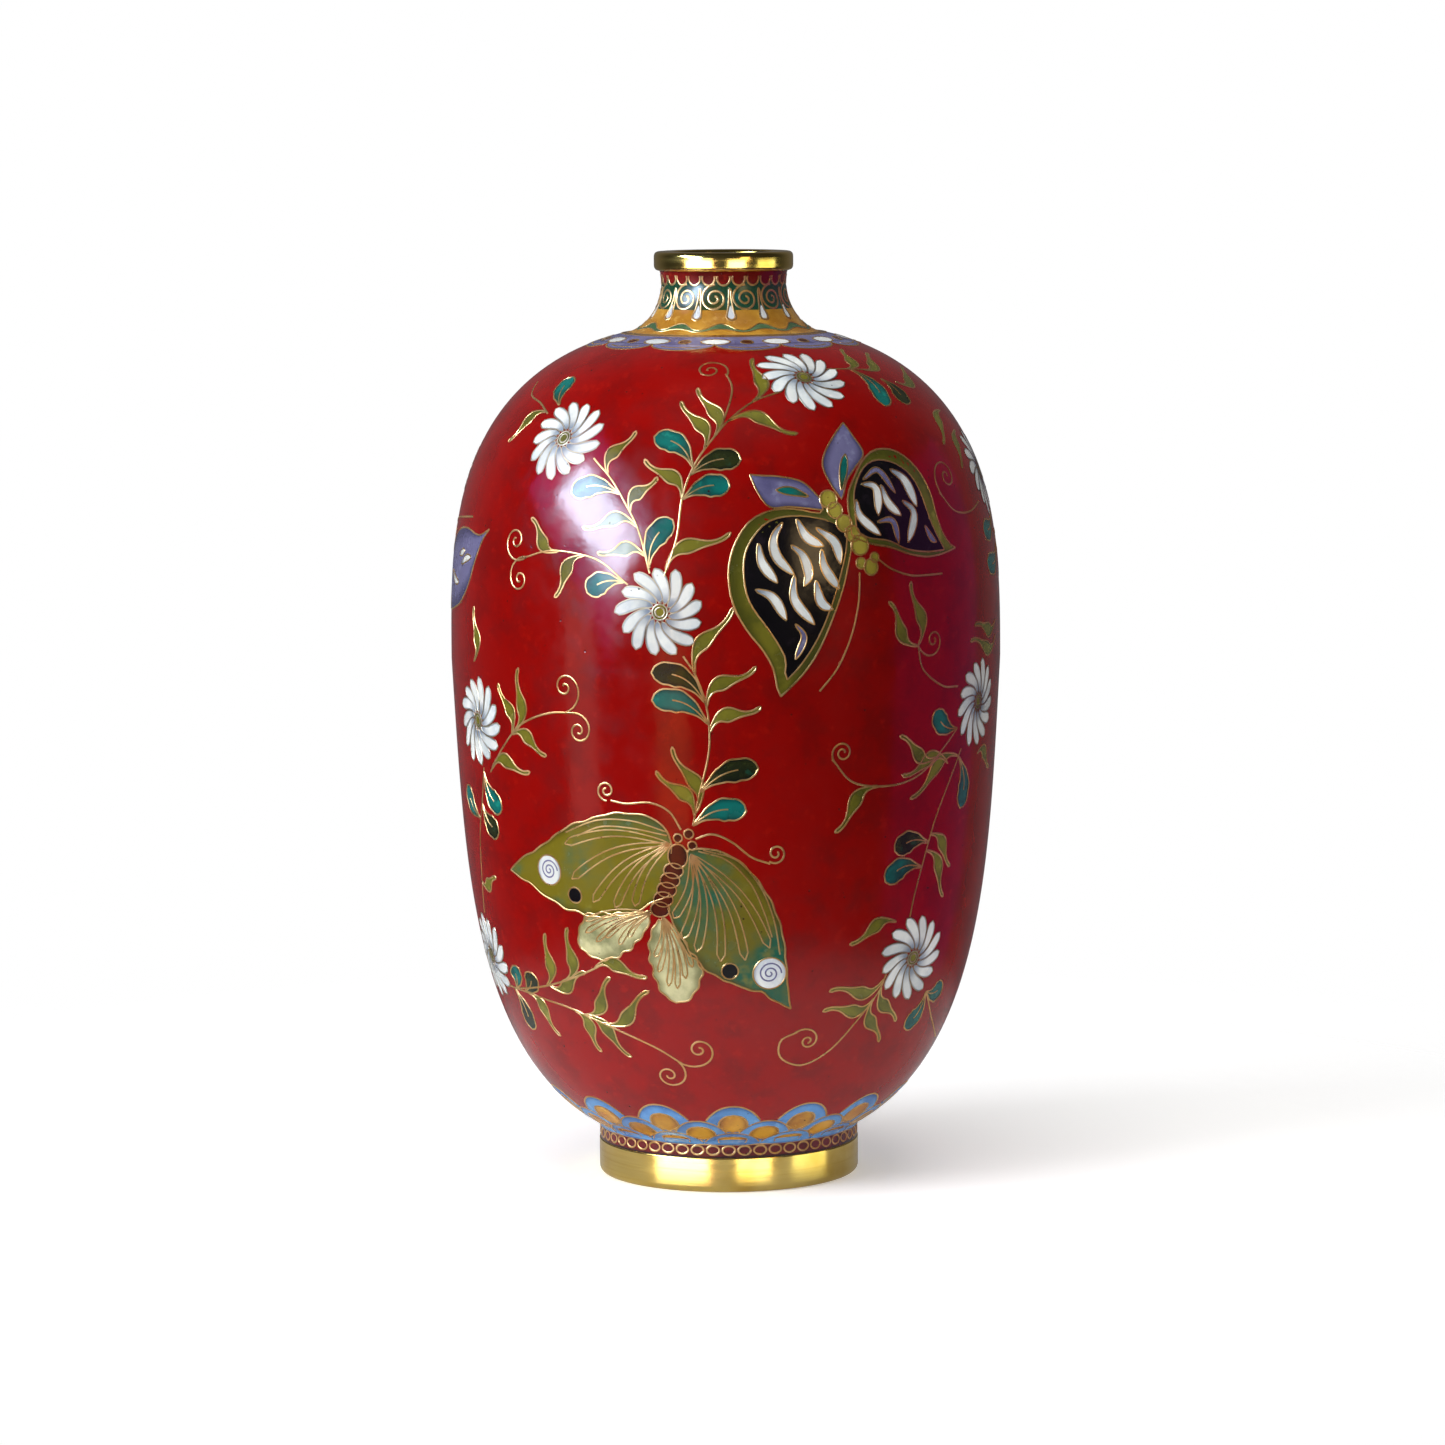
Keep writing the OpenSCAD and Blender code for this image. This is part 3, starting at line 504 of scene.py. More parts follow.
DARK = enamel(
    "dark_enamel", (40, 46, 20), (18, 26, 16), (22, 72, 56),
    edge=(12, 16, 12), low=((62, 62, 24), 0.05, 0.5),
)
# Painted shade: blue-grey along the sides of each cell and at its foot, which on a petal lies towards the
# heart.
WHITE = enamel(
    "white_enamel", (226, 230, 228), (200, 210, 214), (238, 238, 232),
    edge=(128, 144, 168), edge_share=0.4, low=((112, 128, 150), 0.05, 0.5),
)
# Painted shade: a pale blue-grey along the sides of each cell.
PEARL = enamel(
    "white_enamel_clear", (226, 230, 228), (196, 204, 214), (240, 238, 232),
    edge=(150, 158, 176), edge_share=0.3,
)
SAGE = enamel("sage_enamel", (90, 118, 84), (62, 92, 62), (118, 138, 96), edge=(60, 72, 44))
CREAM = enamel("cream_enamel", (196, 192, 146), (120, 122, 84), (220, 216, 178), edge=(118, 116, 74))
BLACK = enamel("black_enamel", (16, 14, 18), (9, 8, 12), (32, 26, 34), pits=0.0, gloss=0.14)
COUNTER = enamel("counter_enamel", (38, 62, 108), (26, 44, 84), (60, 88, 132), gloss=0.35)
print("enamels:", sum("_enamel" in m.name for m in bpy.data.materials))

# %% [markdown]
# ## Metals
# The wires are copper strip, gilded after the grinding, so they shine warmly but are dull where the stone has
# dragged; round the white petals they are painted greyer and darker, a painted shade. The two rings are brass
# turned on a lathe, and keep the fine circles of the tool.

# %% Gilt, turned brass and beaten copper
EVEN, TURNED, BEATEN = (1.0, 1.0, 1.0), (0.12, 0.12, 6.0), (0.3, 0.3, 0.3)
FINE, COARSE = 0.00002, 0.0002


def metal(name, main, dull, rough, bump_depth, stretch, purity=1.0):
    """Metal whose colour and gloss wander with a noise stretched to follow how it was worked."""
    material, tree, shader, where = start_material(name)
    main, dull = paint(*main), paint(*dull)
    worked = noise(tree, where, 300.0, 5.0, 0.6, stretch)
    stain = noise(tree, where, 90.0, 4.0)
    colour = blend(tree, ramp(tree, stain, 0.45, 0.7, 0.0, 0.8), main, dull)
    colour = blend(tree, ramp(tree, worked, 0.5, 0.75, 0.0, 0.5), colour, dull)
    feed(tree, shader.inputs["Base Color"], colour)
    feed(tree, shader.inputs["Roughness"], ramp(tree, worked, 0.3, 0.7, rough * 0.7, rough * 1.4))
    bump = {"Strength": 0.35, "Distance": bump_depth, "Height": worked}
    feed(tree, shader.inputs["Normal"], add(tree, "ShaderNodeBump", bump))
    shader.inputs["Metallic"].default_value = purity
    return material


GILT = metal("gilt_wire", (244, 204, 138), (206, 150, 82), 0.36, FINE, EVEN, 0.9)
# Painted shade: the wires round the petals are greyer and darker than the other gilt.
SHADED_GILT = metal("shaded_gilt_wire", (196, 182, 152), (132, 126, 116), 0.42, FINE, EVEN, 0.9)
BRASS = metal("brass_ring", (246, 216, 128), (224, 184, 84), 0.17, FINE, TURNED)
COPPER_METAL = metal("copper_body", (196, 122, 88), (120, 66, 44), 0.4, COARSE, BEATEN)
print("metals:", GILT.name, SHADED_GILT.name, BRASS.name, COPPER_METAL.name)

# %% [markdown]
# ## The ground and the bands
# The red ground and the plain bands of the foot and the neck are each one ring of enamel. A profile made of
# the wall and the same wall a little deeper is turned round the axis.

# %% Rings of enamel
AROUND = 256
DEPTH = 0.5


def turned(profile):
    """A closed outline of radius and height turned round the axis: (r sin a, -r cos a, z)."""
    a = np.linspace(0, 2 * math.pi, AROUND, endpoint=False)[:, None]
    r, z = profile[None, :, 0], profile[None, :, 1]
    points = np.stack([r * np.sin(a), -r * np.cos(a), z + 0 * a], -1)
    return points, ring_faces(AROUND, len(profile))


def enamel_ring(low, high, step=1.4):
    """The wall from one distance to another, and back at the enamel's depth."""
    up = np.linspace(low, high, int((high - low) / step) + 3)
    back = np.linspace(high, low, int((high - low) / (3 * step)) + 3)
    front = wall(0 * up, up, 0 * up)
    behind = wall(0 * back, back, 0 * back - DEPTH)
    profile = np.concatenate([front, behind])
    points, quads = turned(np.stack([-profile[:, 1], profile[:, 2]], -1))
    share = np.concatenate([(up - low), (back - low)]) / (high - low)
    place = np.stack(np.broadcast_arrays(np.full((AROUND, 1), 0.5), share[None]), -1)
    return points, quads, place, EVEN_TONE


BAND_NAMES = ["foot", "scale", "ground", "lappet", "ochre", "green", "maroon"]
BAND_STARTS = [0.0, 2.35, 6.2, 152.2, 156.3, 163.6, 168.8]
BAND_ENDS = BAND_STARTS[1:] + [float(WALL_UP[-1])]
BAND_UP = dict(zip(BAND_NAMES, zip(BAND_STARTS, BAND_ENDS, strict=True), strict=True))
make_piece("ground", [enamel_ring(*BAND_UP["ground"])], RED, ["ground_enamel"])
PLAIN_BANDS = {
    "foot": ("maroon_enamel", MAROON),
    "scale": ("blue_enamel", BLUE),
    "lappet": ("lavender_enamel", LAVENDER),
    "ochre": ("ochre_enamel", OCHRE_BAND),
    "green": ("green_enamel", GREEN),
}
for band, (slot, material) in PLAIN_BANDS.items():
    ring_step = 0.5 if band == "scale" else 0.3
    rings = [enamel_ring(*BAND_UP[band], ring_step)]
    make_piece(f"{band}_band", rings, material, [f"{band}_band_enamel"])

# %% [markdown]
# ## The brass rings
# The foot ring is a plain band with its lower corner eased, so that the vase stands without scratching. The
# mouth ring is a thick lip, rounded where a hand meets it.

# %% Turned rings


def rounded(corners, radii, steps=7):
    """A closed outline whose corners are eased by curves that touch both sides: corner + radius times
    ((1 - t)^2 back + t^2 ahead), with back and ahead the ways to the neighbouring corners."""
    outline = []
    for k, (corner, radius) in enumerate(zip(corners, radii, strict=True)):
        here = np.array(corner, float)
        back, ahead = (np.array(corners[(k + s) % len(corners)], float) - here for s in (-1, 1))
        back, ahead = back / np.linalg.norm(back), ahead / np.linalg.norm(ahead)
        t = np.linspace(0, 1, steps)[:, None]
        outline.append(here + radius * ((1 - t) ** 2 * back + t**2 * ahead))
    return np.concatenate(outline)


def ring_corners(outer, inner, low, high):
    """Corners of a ring's section: up the outside, down the inside."""
    return [(outer, low), (outer, high), (inner, high), (inner, low)]


def ring_piece(name, corners, radii, node):
    """A brass ring: its rounded outline turned round the axis."""
    points, quads = turned(rounded(corners, radii))
    place = np.full((points.shape[0] * points.shape[1], 2), 0.5)
    return make_piece(name, [(points, quads, place, EVEN_TONE)], BRASS, [node])


MOUTH_SECTION = ring_corners(11.64, 8.4, MOUTH_JOINT_Z, vase_height)
FOOT_SECTION = ring_corners(21.95, 19.6, 0.0, FOOT_H)
mouth_ring = ring_piece("mouth_ring_turned", MOUTH_SECTION, [0.95, 0.9, 0.6, 0.2], "mouth_ring")
foot_ring = ring_piece("foot_ring_turned", FOOT_SECTION, [1.2, 0.25, 0.1, 0.3], "foot_ring")

# %% [markdown]
# ## Metal and enamel kept from the CAD part
# The copper body, the base plate and the enamel inside the vase and under it are hidden or plain, and their
# CAD shapes are right, so they only take the new finishes.

# %% Finishes for the kept nodes
KEPT_NODES = {
    COPPER_METAL: ["lower_body_shell", "upper_body_shell", "neck_shell", "base_plate"],
    COUNTER: ["lining_enamel", "base_enamel"],
}
for material, nodes in KEPT_NODES.items():
    for node in nodes:
        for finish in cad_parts[node].material_slots:
            finish.material = material
    print(material.name, "on", nodes)

# %% [markdown]
# ## Shapes that the decorator repeats
# Leaves, petals, dashes and wings are all blades: a middle line with a width that swells and closes. The
# pattern is drawn once and laid on the back of the vase too, turned by half a circle.

# %% Blades, discs and arches
rng = np.random.default_rng(11)


def closed_ends(u, start=0.08, end=0.08):
    """A width factor that rises as a quarter ellipse at the start and falls as one at the end."""
    a, b = np.clip(u / start, 0, 1), np.clip((1 - u) / end, 0, 1)
    return np.sqrt(a * (2 - a)) * np.sqrt(b * (2 - b)) + 0.03


def disc_edges(angle, up, wide, high=None, count=14):
    """Left and right edge of an oval: half chords wide * sin(t) at the heights -high * cos(t)."""
    high = high or wide
    t = np.linspace(0.12, math.pi - 0.12, count)
    x, y = wide * np.sin(t), -high * np.cos(t)
    return beside(angle, up, -x, y), beside(angle, up, x, y)


def loop(left, right):
    """The closed wire round a cell."""
    line = round_trip(left, right)
    return np.concatenate([line, line[:2]])


BUTTERFLY_ROOM = (-126, -64, 96, 113)


def both_faces(parts):
    """The parts, and the same parts turned half a circle for the back of the vase. Turned parts whose middle
    falls where the blue butterfly sits are left out."""
    half_turn = np.array([-1.0, -1.0, 1.0])
    turned_parts = [(points * half_turn, quads, place, tone) for points, quads, place, tone in parts]
    return parts + [part for part in turned_parts if not under_butterfly(part[0].reshape(-1, 3).mean(0))]


def under_butterfly(spot):
    """Whether a point in mm lies in the room of the big blue butterfly: an angle and a height range."""
    angle = math.degrees(math.atan2(spot[0], -spot[1]))
    low_angle, high_angle, low_z, high_z = BUTTERFLY_ROOM
    return low_angle < angle < high_angle and low_z < spot[2] < high_z


def fired():
    """How bright the next cell comes out of the kiln."""
    return float(rng.uniform(0.25, 0.75))


def fill(cells, wires, sides, lift, columns=4, width=WIRE_W, wire_up=WIRE_UP):
    """A cell between two edges for the cells, and the closed wire round it for the wires."""
    cells.append(cell(*sides, lift, fired(), columns))
    wires.append(wire(loop(*sides), width, wire_up))


print("the blue butterfly's room: angles and heights", BUTTERFLY_ROOM)

# %% [markdown]
# ## Foot: loops and scales
# Three rows of blue scales stand over a maroon band of small loops. Each row hides the lower part of the one
# behind it, so a scale's wire is drawn only where it is higher than its neighbours.

# %% Scales
SCALES = 15
SCALE_PITCH = 360 / SCALES
SCALE_HALF = SCALE_PITCH / 2
SCALE_ROWS = [(1.5, 14.7, 6.4), (13.5, 10.6, 3.6), (1.5, 6.6, 2.3)]
HEARTS = [(12.4, 7.0), (8.9, 3.9), (5.2, 2.6)]
ROW_RISE, HEART_RISE = 0.014, 0.007


def arch(x, top, low):
    """Height of a scale at x degrees from its middle: low + (top - low)(1 - |x/half|^2.2)^0.83."""
    share = np.clip(1 - np.abs(x / SCALE_HALF) ** 2.2, 0, 1)
    return low + (top - low) * share**0.83


def heart_edges(angle, top, low):
    """The ochre heart of a scale: a broad foot, full in the middle, closed by an arc."""
    u = np.linspace(0, 1, 18)
    half = (2.1 + 0.5 * u) * closed_ends(u, 0.1, 0.6)
    up = low + (top - low) * u
    return beside(angle, up, -half, 0 * u), beside(angle, up, half, 0 * u)


def hidden_below(x, row):
    """Height under which the next row hides a scale, at x degrees from the scale's middle."""
    if row == len(SCALE_ROWS) - 1:
        return np.full(np.shape(x), BAND_UP["foot"][1])
    return arch(SCALE_HALF - np.abs(x), *SCALE_ROWS[row + 1][1:])


scale_cells, scale_hearts, scale_wires = [], [], []
for row, (first, top, low) in enumerate(SCALE_ROWS):
    x = np.linspace(-SCALE_HALF, SCALE_HALF, 40)
    crest = arch(x, top, low)
    shown = crest > hidden_below(x, row)
    lift = CELL_UP + ROW_RISE * row
    for k in range(SCALES):
        middle = first + SCALE_PITCH * k
        base = np.stack([middle + x, np.full(len(x), low - 0.1)], -1)
        lobe = np.stack([middle + x, crest], -1)
        scale_cells.append(cell(base, lobe, lift, fired(), 6))
        scale_wires.append(wire(lobe[shown]))
        heart = heart_edges(middle, *HEARTS[row])
        scale_hearts.append(cell(*heart, lift + HEART_RISE, fired(), 5))
        heart_line = round_trip(*heart)
        scale_wires.append(wire(heart_line[heart_line[:, 1] > hidden_below(heart_line[:, 0] - middle, row)]))
make_piece("scales", scale_cells, BLUE, ["scale_blues"])
make_piece("scale_hearts_set", scale_hearts, OCHRE, ["scale_hearts"])
make_piece("scale_wires_bent", scale_wires, GILT, ["scale_wires"])

# %% Loops of the foot band and the circles between the bands
LOOPS = 52
around_line = np.linspace(0, 360, 181)
CIRCLE_W = 0.38
CIRCLES_UP = [BAND_UP["foot"][1], BAND_UP["ochre"][0], BAND_UP["ochre"][0] + 1.0]
foot_loops = [wire(loop(*disc_edges(360 / LOOPS * k, 1.3, 1.05, 0.75))) for k in range(LOOPS)]
make_piece("foot_loops", foot_loops, GILT, ["foot_loop_wires"])
borders = [wire(np.stack([around_line, np.full(len(around_line), up)], -1), CIRCLE_W) for up in CIRCLES_UP]
make_piece("borders", borders, GILT, ["border_wires"])

# %% [markdown]
# ## Shoulder and neck
# Twelve lavender lappets hang round the shoulder, each with a maroon lozenge, and a white oval fills the gap
# between two of them. Above the brown border run an ochre band with a green wave, a green band with thirteen
# scrolls, and narrow drops that cross from one band into the other.

# %% Lappets, ovals and lozenges
LAPPETS, LAPPET_AT, OVAL_AT = 12, 11.0, -4.0
LAPPET_PITCH = 360 / LAPPETS
LAPPET_UP, LAPPET_DROP, LAPPET_TOP = 152.3, 2.4, 152.6
OVAL = (153.5, 2.4, 1.25)
LOZENGE = (153.4, 1.0, 0.85, 9)
lappet_cells, lozenge_cells, oval_cells, lappet_wires = [], [], [], []
x = np.linspace(-LAPPET_PITCH / 2, LAPPET_PITCH / 2, 31)
edge_up = LAPPET_UP - LAPPET_DROP * np.sqrt(np.clip(1 - (x / x[-1]) ** 2, 0, 1))
for k in range(LAPPETS):
    middle = LAPPET_AT + LAPPET_PITCH * k
    hem = np.stack([middle + x, edge_up], -1)
    lappet_cells.append(cell(hem, np.stack([middle + x, np.full(len(x), LAPPET_TOP)], -1), CELL_UP, fired()))
    lappet_wires.append(wire(hem))
    fill(oval_cells, lappet_wires, disc_edges(OVAL_AT + LAPPET_PITCH * k, *OVAL), MARK_UP, 5)
    fill(lozenge_cells, lappet_wires, disc_edges(middle, *LOZENGE), MARK_UP)
    lappet_wires.append(wire(hem[6:-6] + [0, 1.0]))
make_piece("lappet_cells", lappet_cells, LAVENDER, ["lappets"])
make_piece("lozenges", lozenge_cells, BROWN, ["lappet_lozenges"])
make_piece("ovals", oval_cells, PEARL, ["shoulder_ovals"])
make_piece("lappet_outlines", lappet_wires, GILT, ["lappet_wires"])

# %% Neck: wave and scrolls
WAVES, WAVE_TURN, WAVE_UP, WAVE_H = 12, 2, 158.9, 1.3
crest_share = 0.5 + 0.5 * np.cos(np.radians(WAVES * (around_line + WAVE_TURN)))
wave_line = np.stack([around_line, WAVE_UP + WAVE_H * crest_share], -1)
wave_edges = edges(wave_line, 0.3 + 0.4 * crest_share**2)
make_piece("wave", [cell(*wave_edges)], SAGE, ["wavy_cells"])
SCROLLS, SCROLL_AT, SCROLL_UP, SCROLL_R, SCROLL_W = 13, -8.0, 165.6, 2.35, 0.36
SCROLL_PITCH = 360 / SCROLLS
scroll_lines = [spiral(SCROLL_AT + SCROLL_PITCH * k, SCROLL_UP, SCROLL_R, 90, 2.0) for k in range(SCROLLS)]
scrolls = [wire(line, SCROLL_W) for line in scroll_lines] + [wire(line, 0.2) for line in wave_edges]
make_piece("scrolls", scrolls, GILT, ["spiral_wires"])

# %% Neck: drops
drop_cells, drop_wires = [], []


def hanging(at, top, length, half):
    """Edges of a drop that hangs from a height, with its half width listed from the top down."""
    u = np.linspace(0, 1, len(half))
    return beside(at, top - length * u, half, 0 * u), beside(at, top - length * u, -half, 0 * u)


u = np.linspace(0, 1, 18)
outer_half = (0.16 + 0.86 * u**2.2) * closed_ends(u, 0.04, 0.2)
inner_half = (0.12 + 0.6 * u) * closed_ends(u, 0.1, 0.4)
for k in range(SCROLLS):
    at = SCROLL_AT + SCROLL_PITCH * (k + 0.5)
    drop_wires.append(wire(loop(*hanging(at, 167.3, 5.7, outer_half))))
    drop_cells.append(cell(*hanging(at, 164.4, 2.5, inner_half), MARK_UP, fired()))
make_piece("drops", drop_cells, PEARL, ["drop_cells"])
make_piece("drop_outlines", drop_wires, GILT, ["drop_wires"])

# %% Neck: scallops and the red tongues in them
SCALLOPS, SCALLOP_W, SCALLOP_H, SCALLOP_UP = 26, 1.08, 1.15, 168.95
swing = np.radians(np.linspace(160, 380, 18))
deep = np.linspace(0, 0.96, 8)
half, down = SCALLOP_W * np.sqrt(1 - deep**2), -SCALLOP_H * deep
scallops, tongues = [], [enamel_ring(*BAND_UP["maroon"], 0.3)]
for k in range(SCALLOPS):
    at = 360 / SCALLOPS * k
    scallops.append(wire(beside(at, SCALLOP_UP, SCALLOP_W * np.cos(swing), SCALLOP_H * np.sin(swing))))
    left, right = (beside(at, SCALLOP_UP, side * half, down) for side in (-1, 1))
    tongues.append(cell(left, right, CELL_UP, fired()))
make_piece("maroon_band", tongues, MAROON_PLAIN, ["maroon_band_enamel"])
make_piece("scallops", scallops, GILT, ["scallop_wires"])

# %% [markdown]
# ## Daisies
# A daisy has thirteen petals that lean into a whirl, so its centre looks spun. Each petal's middle line turns
# as it nears the heart, and its width fills a thirteenth of the circle until the rounded tip.

# %% Daisies
DAISY_R, PETALS, HEART_R = 7.4, 13, 1.25
PETAL_SWIRL, PETAL_ROWS, PETAL_HALF, PETAL_WIRE_W = 52, 12, 0.94, 0.22
PETAL_UP, HEART_UP = 0.035, 0.045
DAISIES = [
    (25, 141.3), (-41.5, 128.3), (-13.2, 100.2), (-63.5, 80.2), (65, 82.7), (-73, 39.5), (47, 41.2),
    (82, 120.2),
]


def petal(angle, up, tip_turn, reach):
    """Edges of a petal: its middle line is polar, tip - 52 deg (1 - rho/R)^1.3, and its half width across
    that line is 0.9 pi rho / 13."""
    rho = np.linspace(HEART_R + 0.2, reach, PETAL_ROWS)
    turn = np.radians(tip_turn - PETAL_SWIRL * (1 - rho / reach) ** 1.3)
    x, y = rho * np.cos(turn), rho * np.sin(turn)
    dx, dy = np.gradient(x), np.gradient(y)
    far = np.hypot(dx, dy)
    across = np.abs(x * dx + y * dy) / (far * rho)
    u = np.linspace(0, 1, PETAL_ROWS)
    half = np.minimum(math.pi * rho / PETALS * across * 0.9, PETAL_HALF) * closed_ends(u, 0.05, 0.28)
    side_x, side_y = -dy / far * half, dx / far * half
    return beside(angle, up, x + side_x, y + side_y), beside(angle, up, x - side_x, y - side_y)


petal_cells, petal_wires, daisy_hearts = [], [], []
for at, up in DAISIES:
    start = rng.uniform(0, 360 / PETALS)
    for k in range(PETALS):
        reach = DAISY_R * rng.uniform(0.92, 1.04)
        sides = petal(at, up, start + 360 / PETALS * k, reach)
        fill(petal_cells, petal_wires, sides, PETAL_UP, 4, PETAL_WIRE_W)
    fill(daisy_hearts, petal_wires, disc_edges(at, up, HEART_R), HEART_UP, 5)
    petal_wires.append(wire(loop(*disc_edges(at, up, HEART_R * 0.62))))
make_piece("petals", both_faces(petal_cells), WHITE, ["petal_cells"])
make_piece("petal_outlines", both_faces(petal_wires), SHADED_GILT, ["petal_wires"])
make_piece("hearts", both_faces(daisy_hearts), OLIVE, ["daisy_hearts"])

# %% [markdown]
# ## Stems, curls and leaves
# Stems are single wires that leave a flower and end in a curl. Thin olive leaves sway twice, like grass in a
# draught; the broader green ones swell to a club. A leaf first bows towards the way its stem grows.

# %% Stems and curls
STEMS = [
    [(-7, 65.7), (-5.5, 71), (-3.5, 78), (-3.8, 84.5), (-6, 90), (-8.5, 93.2)],
    [(-12.4, 106), (-10, 112), (-9, 119), (-6.5, 124.5), (-2, 129.5), (2, 132.8), (8, 136), (16, 138)],
    [(-20, 104.5), (-26, 108), (-32, 109.2), (-39, 109.4), (-46, 108)],
    [(-15.4, 106.4), (-18, 113), (-21, 117), (-25.5, 121.5), (-31, 125)],
    [(-51.5, 132.7), (-58, 134.7), (-67, 136.2), (-72, 139)],
    [(-59, 72), (-53.5, 76.5), (-47, 80.7), (-39, 83), (-32, 83.4)],
    [(-62, 72.5), (-64, 67), (-67, 61), (-69, 54), (-71.5, 47)],
    [(-65, 35), (-56, 34.7), (-48, 34), (-40, 33), (-28.5, 30.2), (-18.5, 27.2), (-12, 24.2)],
    [(39, 39), (37.5, 36), (32.5, 31), (26.5, 26), (19.5, 23.5), (13.5, 25.2), (13, 28.5), (17, 30)],
    [(55, 34.5), (61.5, 29.5), (68, 26.2), (74, 24)],
    [(44, 48.5), (45, 53), (48, 61), (51, 66.5), (58, 75.5)],
    [(56, 79), (51, 76), (44, 72.3), (36, 71), (27, 72), (22, 76)],
    [(42.5, 93.5), (44, 89.5), (50, 86.5), (55.5, 86)],
    [(72, 115.5), (65, 114.2), (58, 114.7), (53.5, 118)],
    [(35, 143.2), (43, 143), (51.5, 142.5)],
    [(-60, 35), (-50, 36.2), (-41, 38), (-34, 40), (-29, 41.8)],
    [(-1, 130.5), (1.5, 136), (2.2, 139.5), (0.5, 142.5)],
]
CURLS = [
    (-4.5, 143.5, 2.4), (-49, 110.7, 2.3), (-47, 104.5, 2.0), (-34.5, 87.5, 2.2), (-31.5, 80.5, 2.1),
    (-16, 21.7, 2.3), (-7.3, 27, 2.2), (20, 28.2, 1.5), (24.3, 77, 1.8), (47, 94.2, 1.8), (58, 120.5, 2.6),
]
stems = [smooth(line, 0.7) for line in STEMS]
every_stem = np.concatenate([line[:-1] for line in stems])
every_step = np.concatenate([np.diff(line, axis=0) for line in stems])


def on_stem(place):
    """The nearest point of all stems to a place, the way the stem grows there, and its distance in mm."""
    wide = np.radians(every_stem[:, 0] - place[0]) * radius_at(place[1])
    far = np.hypot(wide, every_stem[:, 1] - place[1])
    near = int(np.argmin(far))
    spot = every_stem[near]
    return spot, flat(spot, spot + every_step[near]), float(far[near])


def curl(at, up, radius):
    """A spiral that leaves the nearest stem along its growth: it starts at the stem's distance, tightens at
    once to the radius, then shrinks evenly."""
    spot, grow, far = on_stem((at, up))
    x, y = flat((at, up), spot)
    turn_way = 1.0 if x * grow[1] - y * grow[0] >= 0 else -1.0
    u = np.linspace(0, 1, 44)
    r = 0.35 + (radius - 0.35) * (1 - u) + (far - radius) * (1 - u) ** 6
    a = math.atan2(y, x) + turn_way * 2 * math.pi * 1.65 * u
    return beside(at, up, r * np.cos(a), r * np.sin(a))


curls = [curl(*place) for place in CURLS]
make_piece("stems", both_faces([wire(line) for line in stems]), GILT, ["stem_wires"])
make_piece("curls", both_faces([wire(line) for line in curls]), GILT, ["curl_wires"])

# %% Places of the leaves: base, then tip
OLIVE_LEAVES = [
    (-6, 68, -11, 78.5), (-8, 67, -14.5, 74.5), (-3, 81, 7, 85), (-3, 85, 6, 91.5), (-4, 91, 1.5, 101),
    (-9.5, 106, 1, 113), (-10, 118.5, -18, 125), (-6, 127, -11, 136), (-3, 129.5, -7, 139),
    (3, 130.5, 18, 129.5), (6, 137.5, 10, 147), (43, 143, 53, 149), (54, 142, 66, 147),
    (-30, 108.5, -37, 102), (-36, 110.5, -45, 114.5), (-18, 109, -27, 109.5), (-20, 113, -31, 113.5),
    (-19, 117, -15, 122), (-26, 123, -22, 130), (-52, 133, -63, 127),
    (-50, 79.5, -47, 90), (-51, 80, -54, 87), (-50, 79, -40, 76), (-58, 72, -45, 73), (-64, 90, -64, 99),
    (-71, 53, -61, 54),
    (-46, 36.5, -34, 40), (-31, 40, -18.5, 40), (-47, 37, -44.5, 46), (-41, 38, -37.5, 47.5),
    (-36, 33.5, -27.5, 39.5), (-31, 32, -18, 37.5), (-36.5, 32, -26, 25), (-40, 33, -34.5, 25.5),
    (-56, 33.5, -47.5, 27.5),
    (36, 35.5, 23, 33.5), (37, 38.5, 24, 37), (38.5, 37, 45.5, 30), (36, 34.5, 41.5, 26.5),
    (40, 48, 28, 45), (49, 62, 56.5, 56), (48, 59, 55, 51), (56, 75, 41.5, 68.5), (53, 73.5, 39, 72.5),
    (33, 71, 23, 64), (49, 75, 38, 79), (43, 94, 41, 104), (42, 94, 35, 101),
    (73, 132, 62, 126), (75, 128, 67, 121.5), (76, 95.5, 62.5, 95.5), (76, 93, 60.5, 93), (66, 74, 75, 71),
    (60, 139, 80, 142),
]
TEAL_LEAVES = [
    (-6, 65.5, 4, 68), (-5, 82, -15, 86), (-14.5, 107, -11, 115), (-8, 118, 1, 120.5), (-8, 124, -16.5, 129),
    (45, 141.5, 47, 134), (-22, 104, -29, 103), (-24, 118.5, -35, 119), (-49, 134.5, -53, 141),
    (-62, 72, -55.5, 66), (-67, 64, -73.5, 68.5), (-61, 35, -60, 39), (53, 34.5, 50, 28.5),
    (55, 34.5, 63, 35), (46, 57, 36, 55), (57, 74.5, 59, 65.5), (56.5, 80, 48, 82.5),
    (82, 113, 71.5, 111), (84, 108, 71.5, 105.5),
]
DARK_LEAVES = [
    (-4, 71, 6.5, 75), (-5, 85.5, -15, 90.5), (-8, 122.5, 3.5, 125), (54, 140, 56, 134), (-64, 66, -57.5, 62),
    (-57, 35, -52, 38.5), (-62, 33.5, -60, 27.5), (46.5, 61, 38, 60),
]
print("leaves:", len(OLIVE_LEAVES), len(TEAL_LEAVES), len(DARK_LEAVES))

# %% Leaves
SNAP = 2.2
LEAF_WIRE_W, VEIN_W = 0.28, 0.24


def rooted(place):
    """Base and tip of a leaf, the base moved onto its stem when that is near."""
    spot, grow, far = on_stem(place[:2])
    return (spot if far < SNAP else np.array(place[:2], float)), np.array(place[2:], float), grow


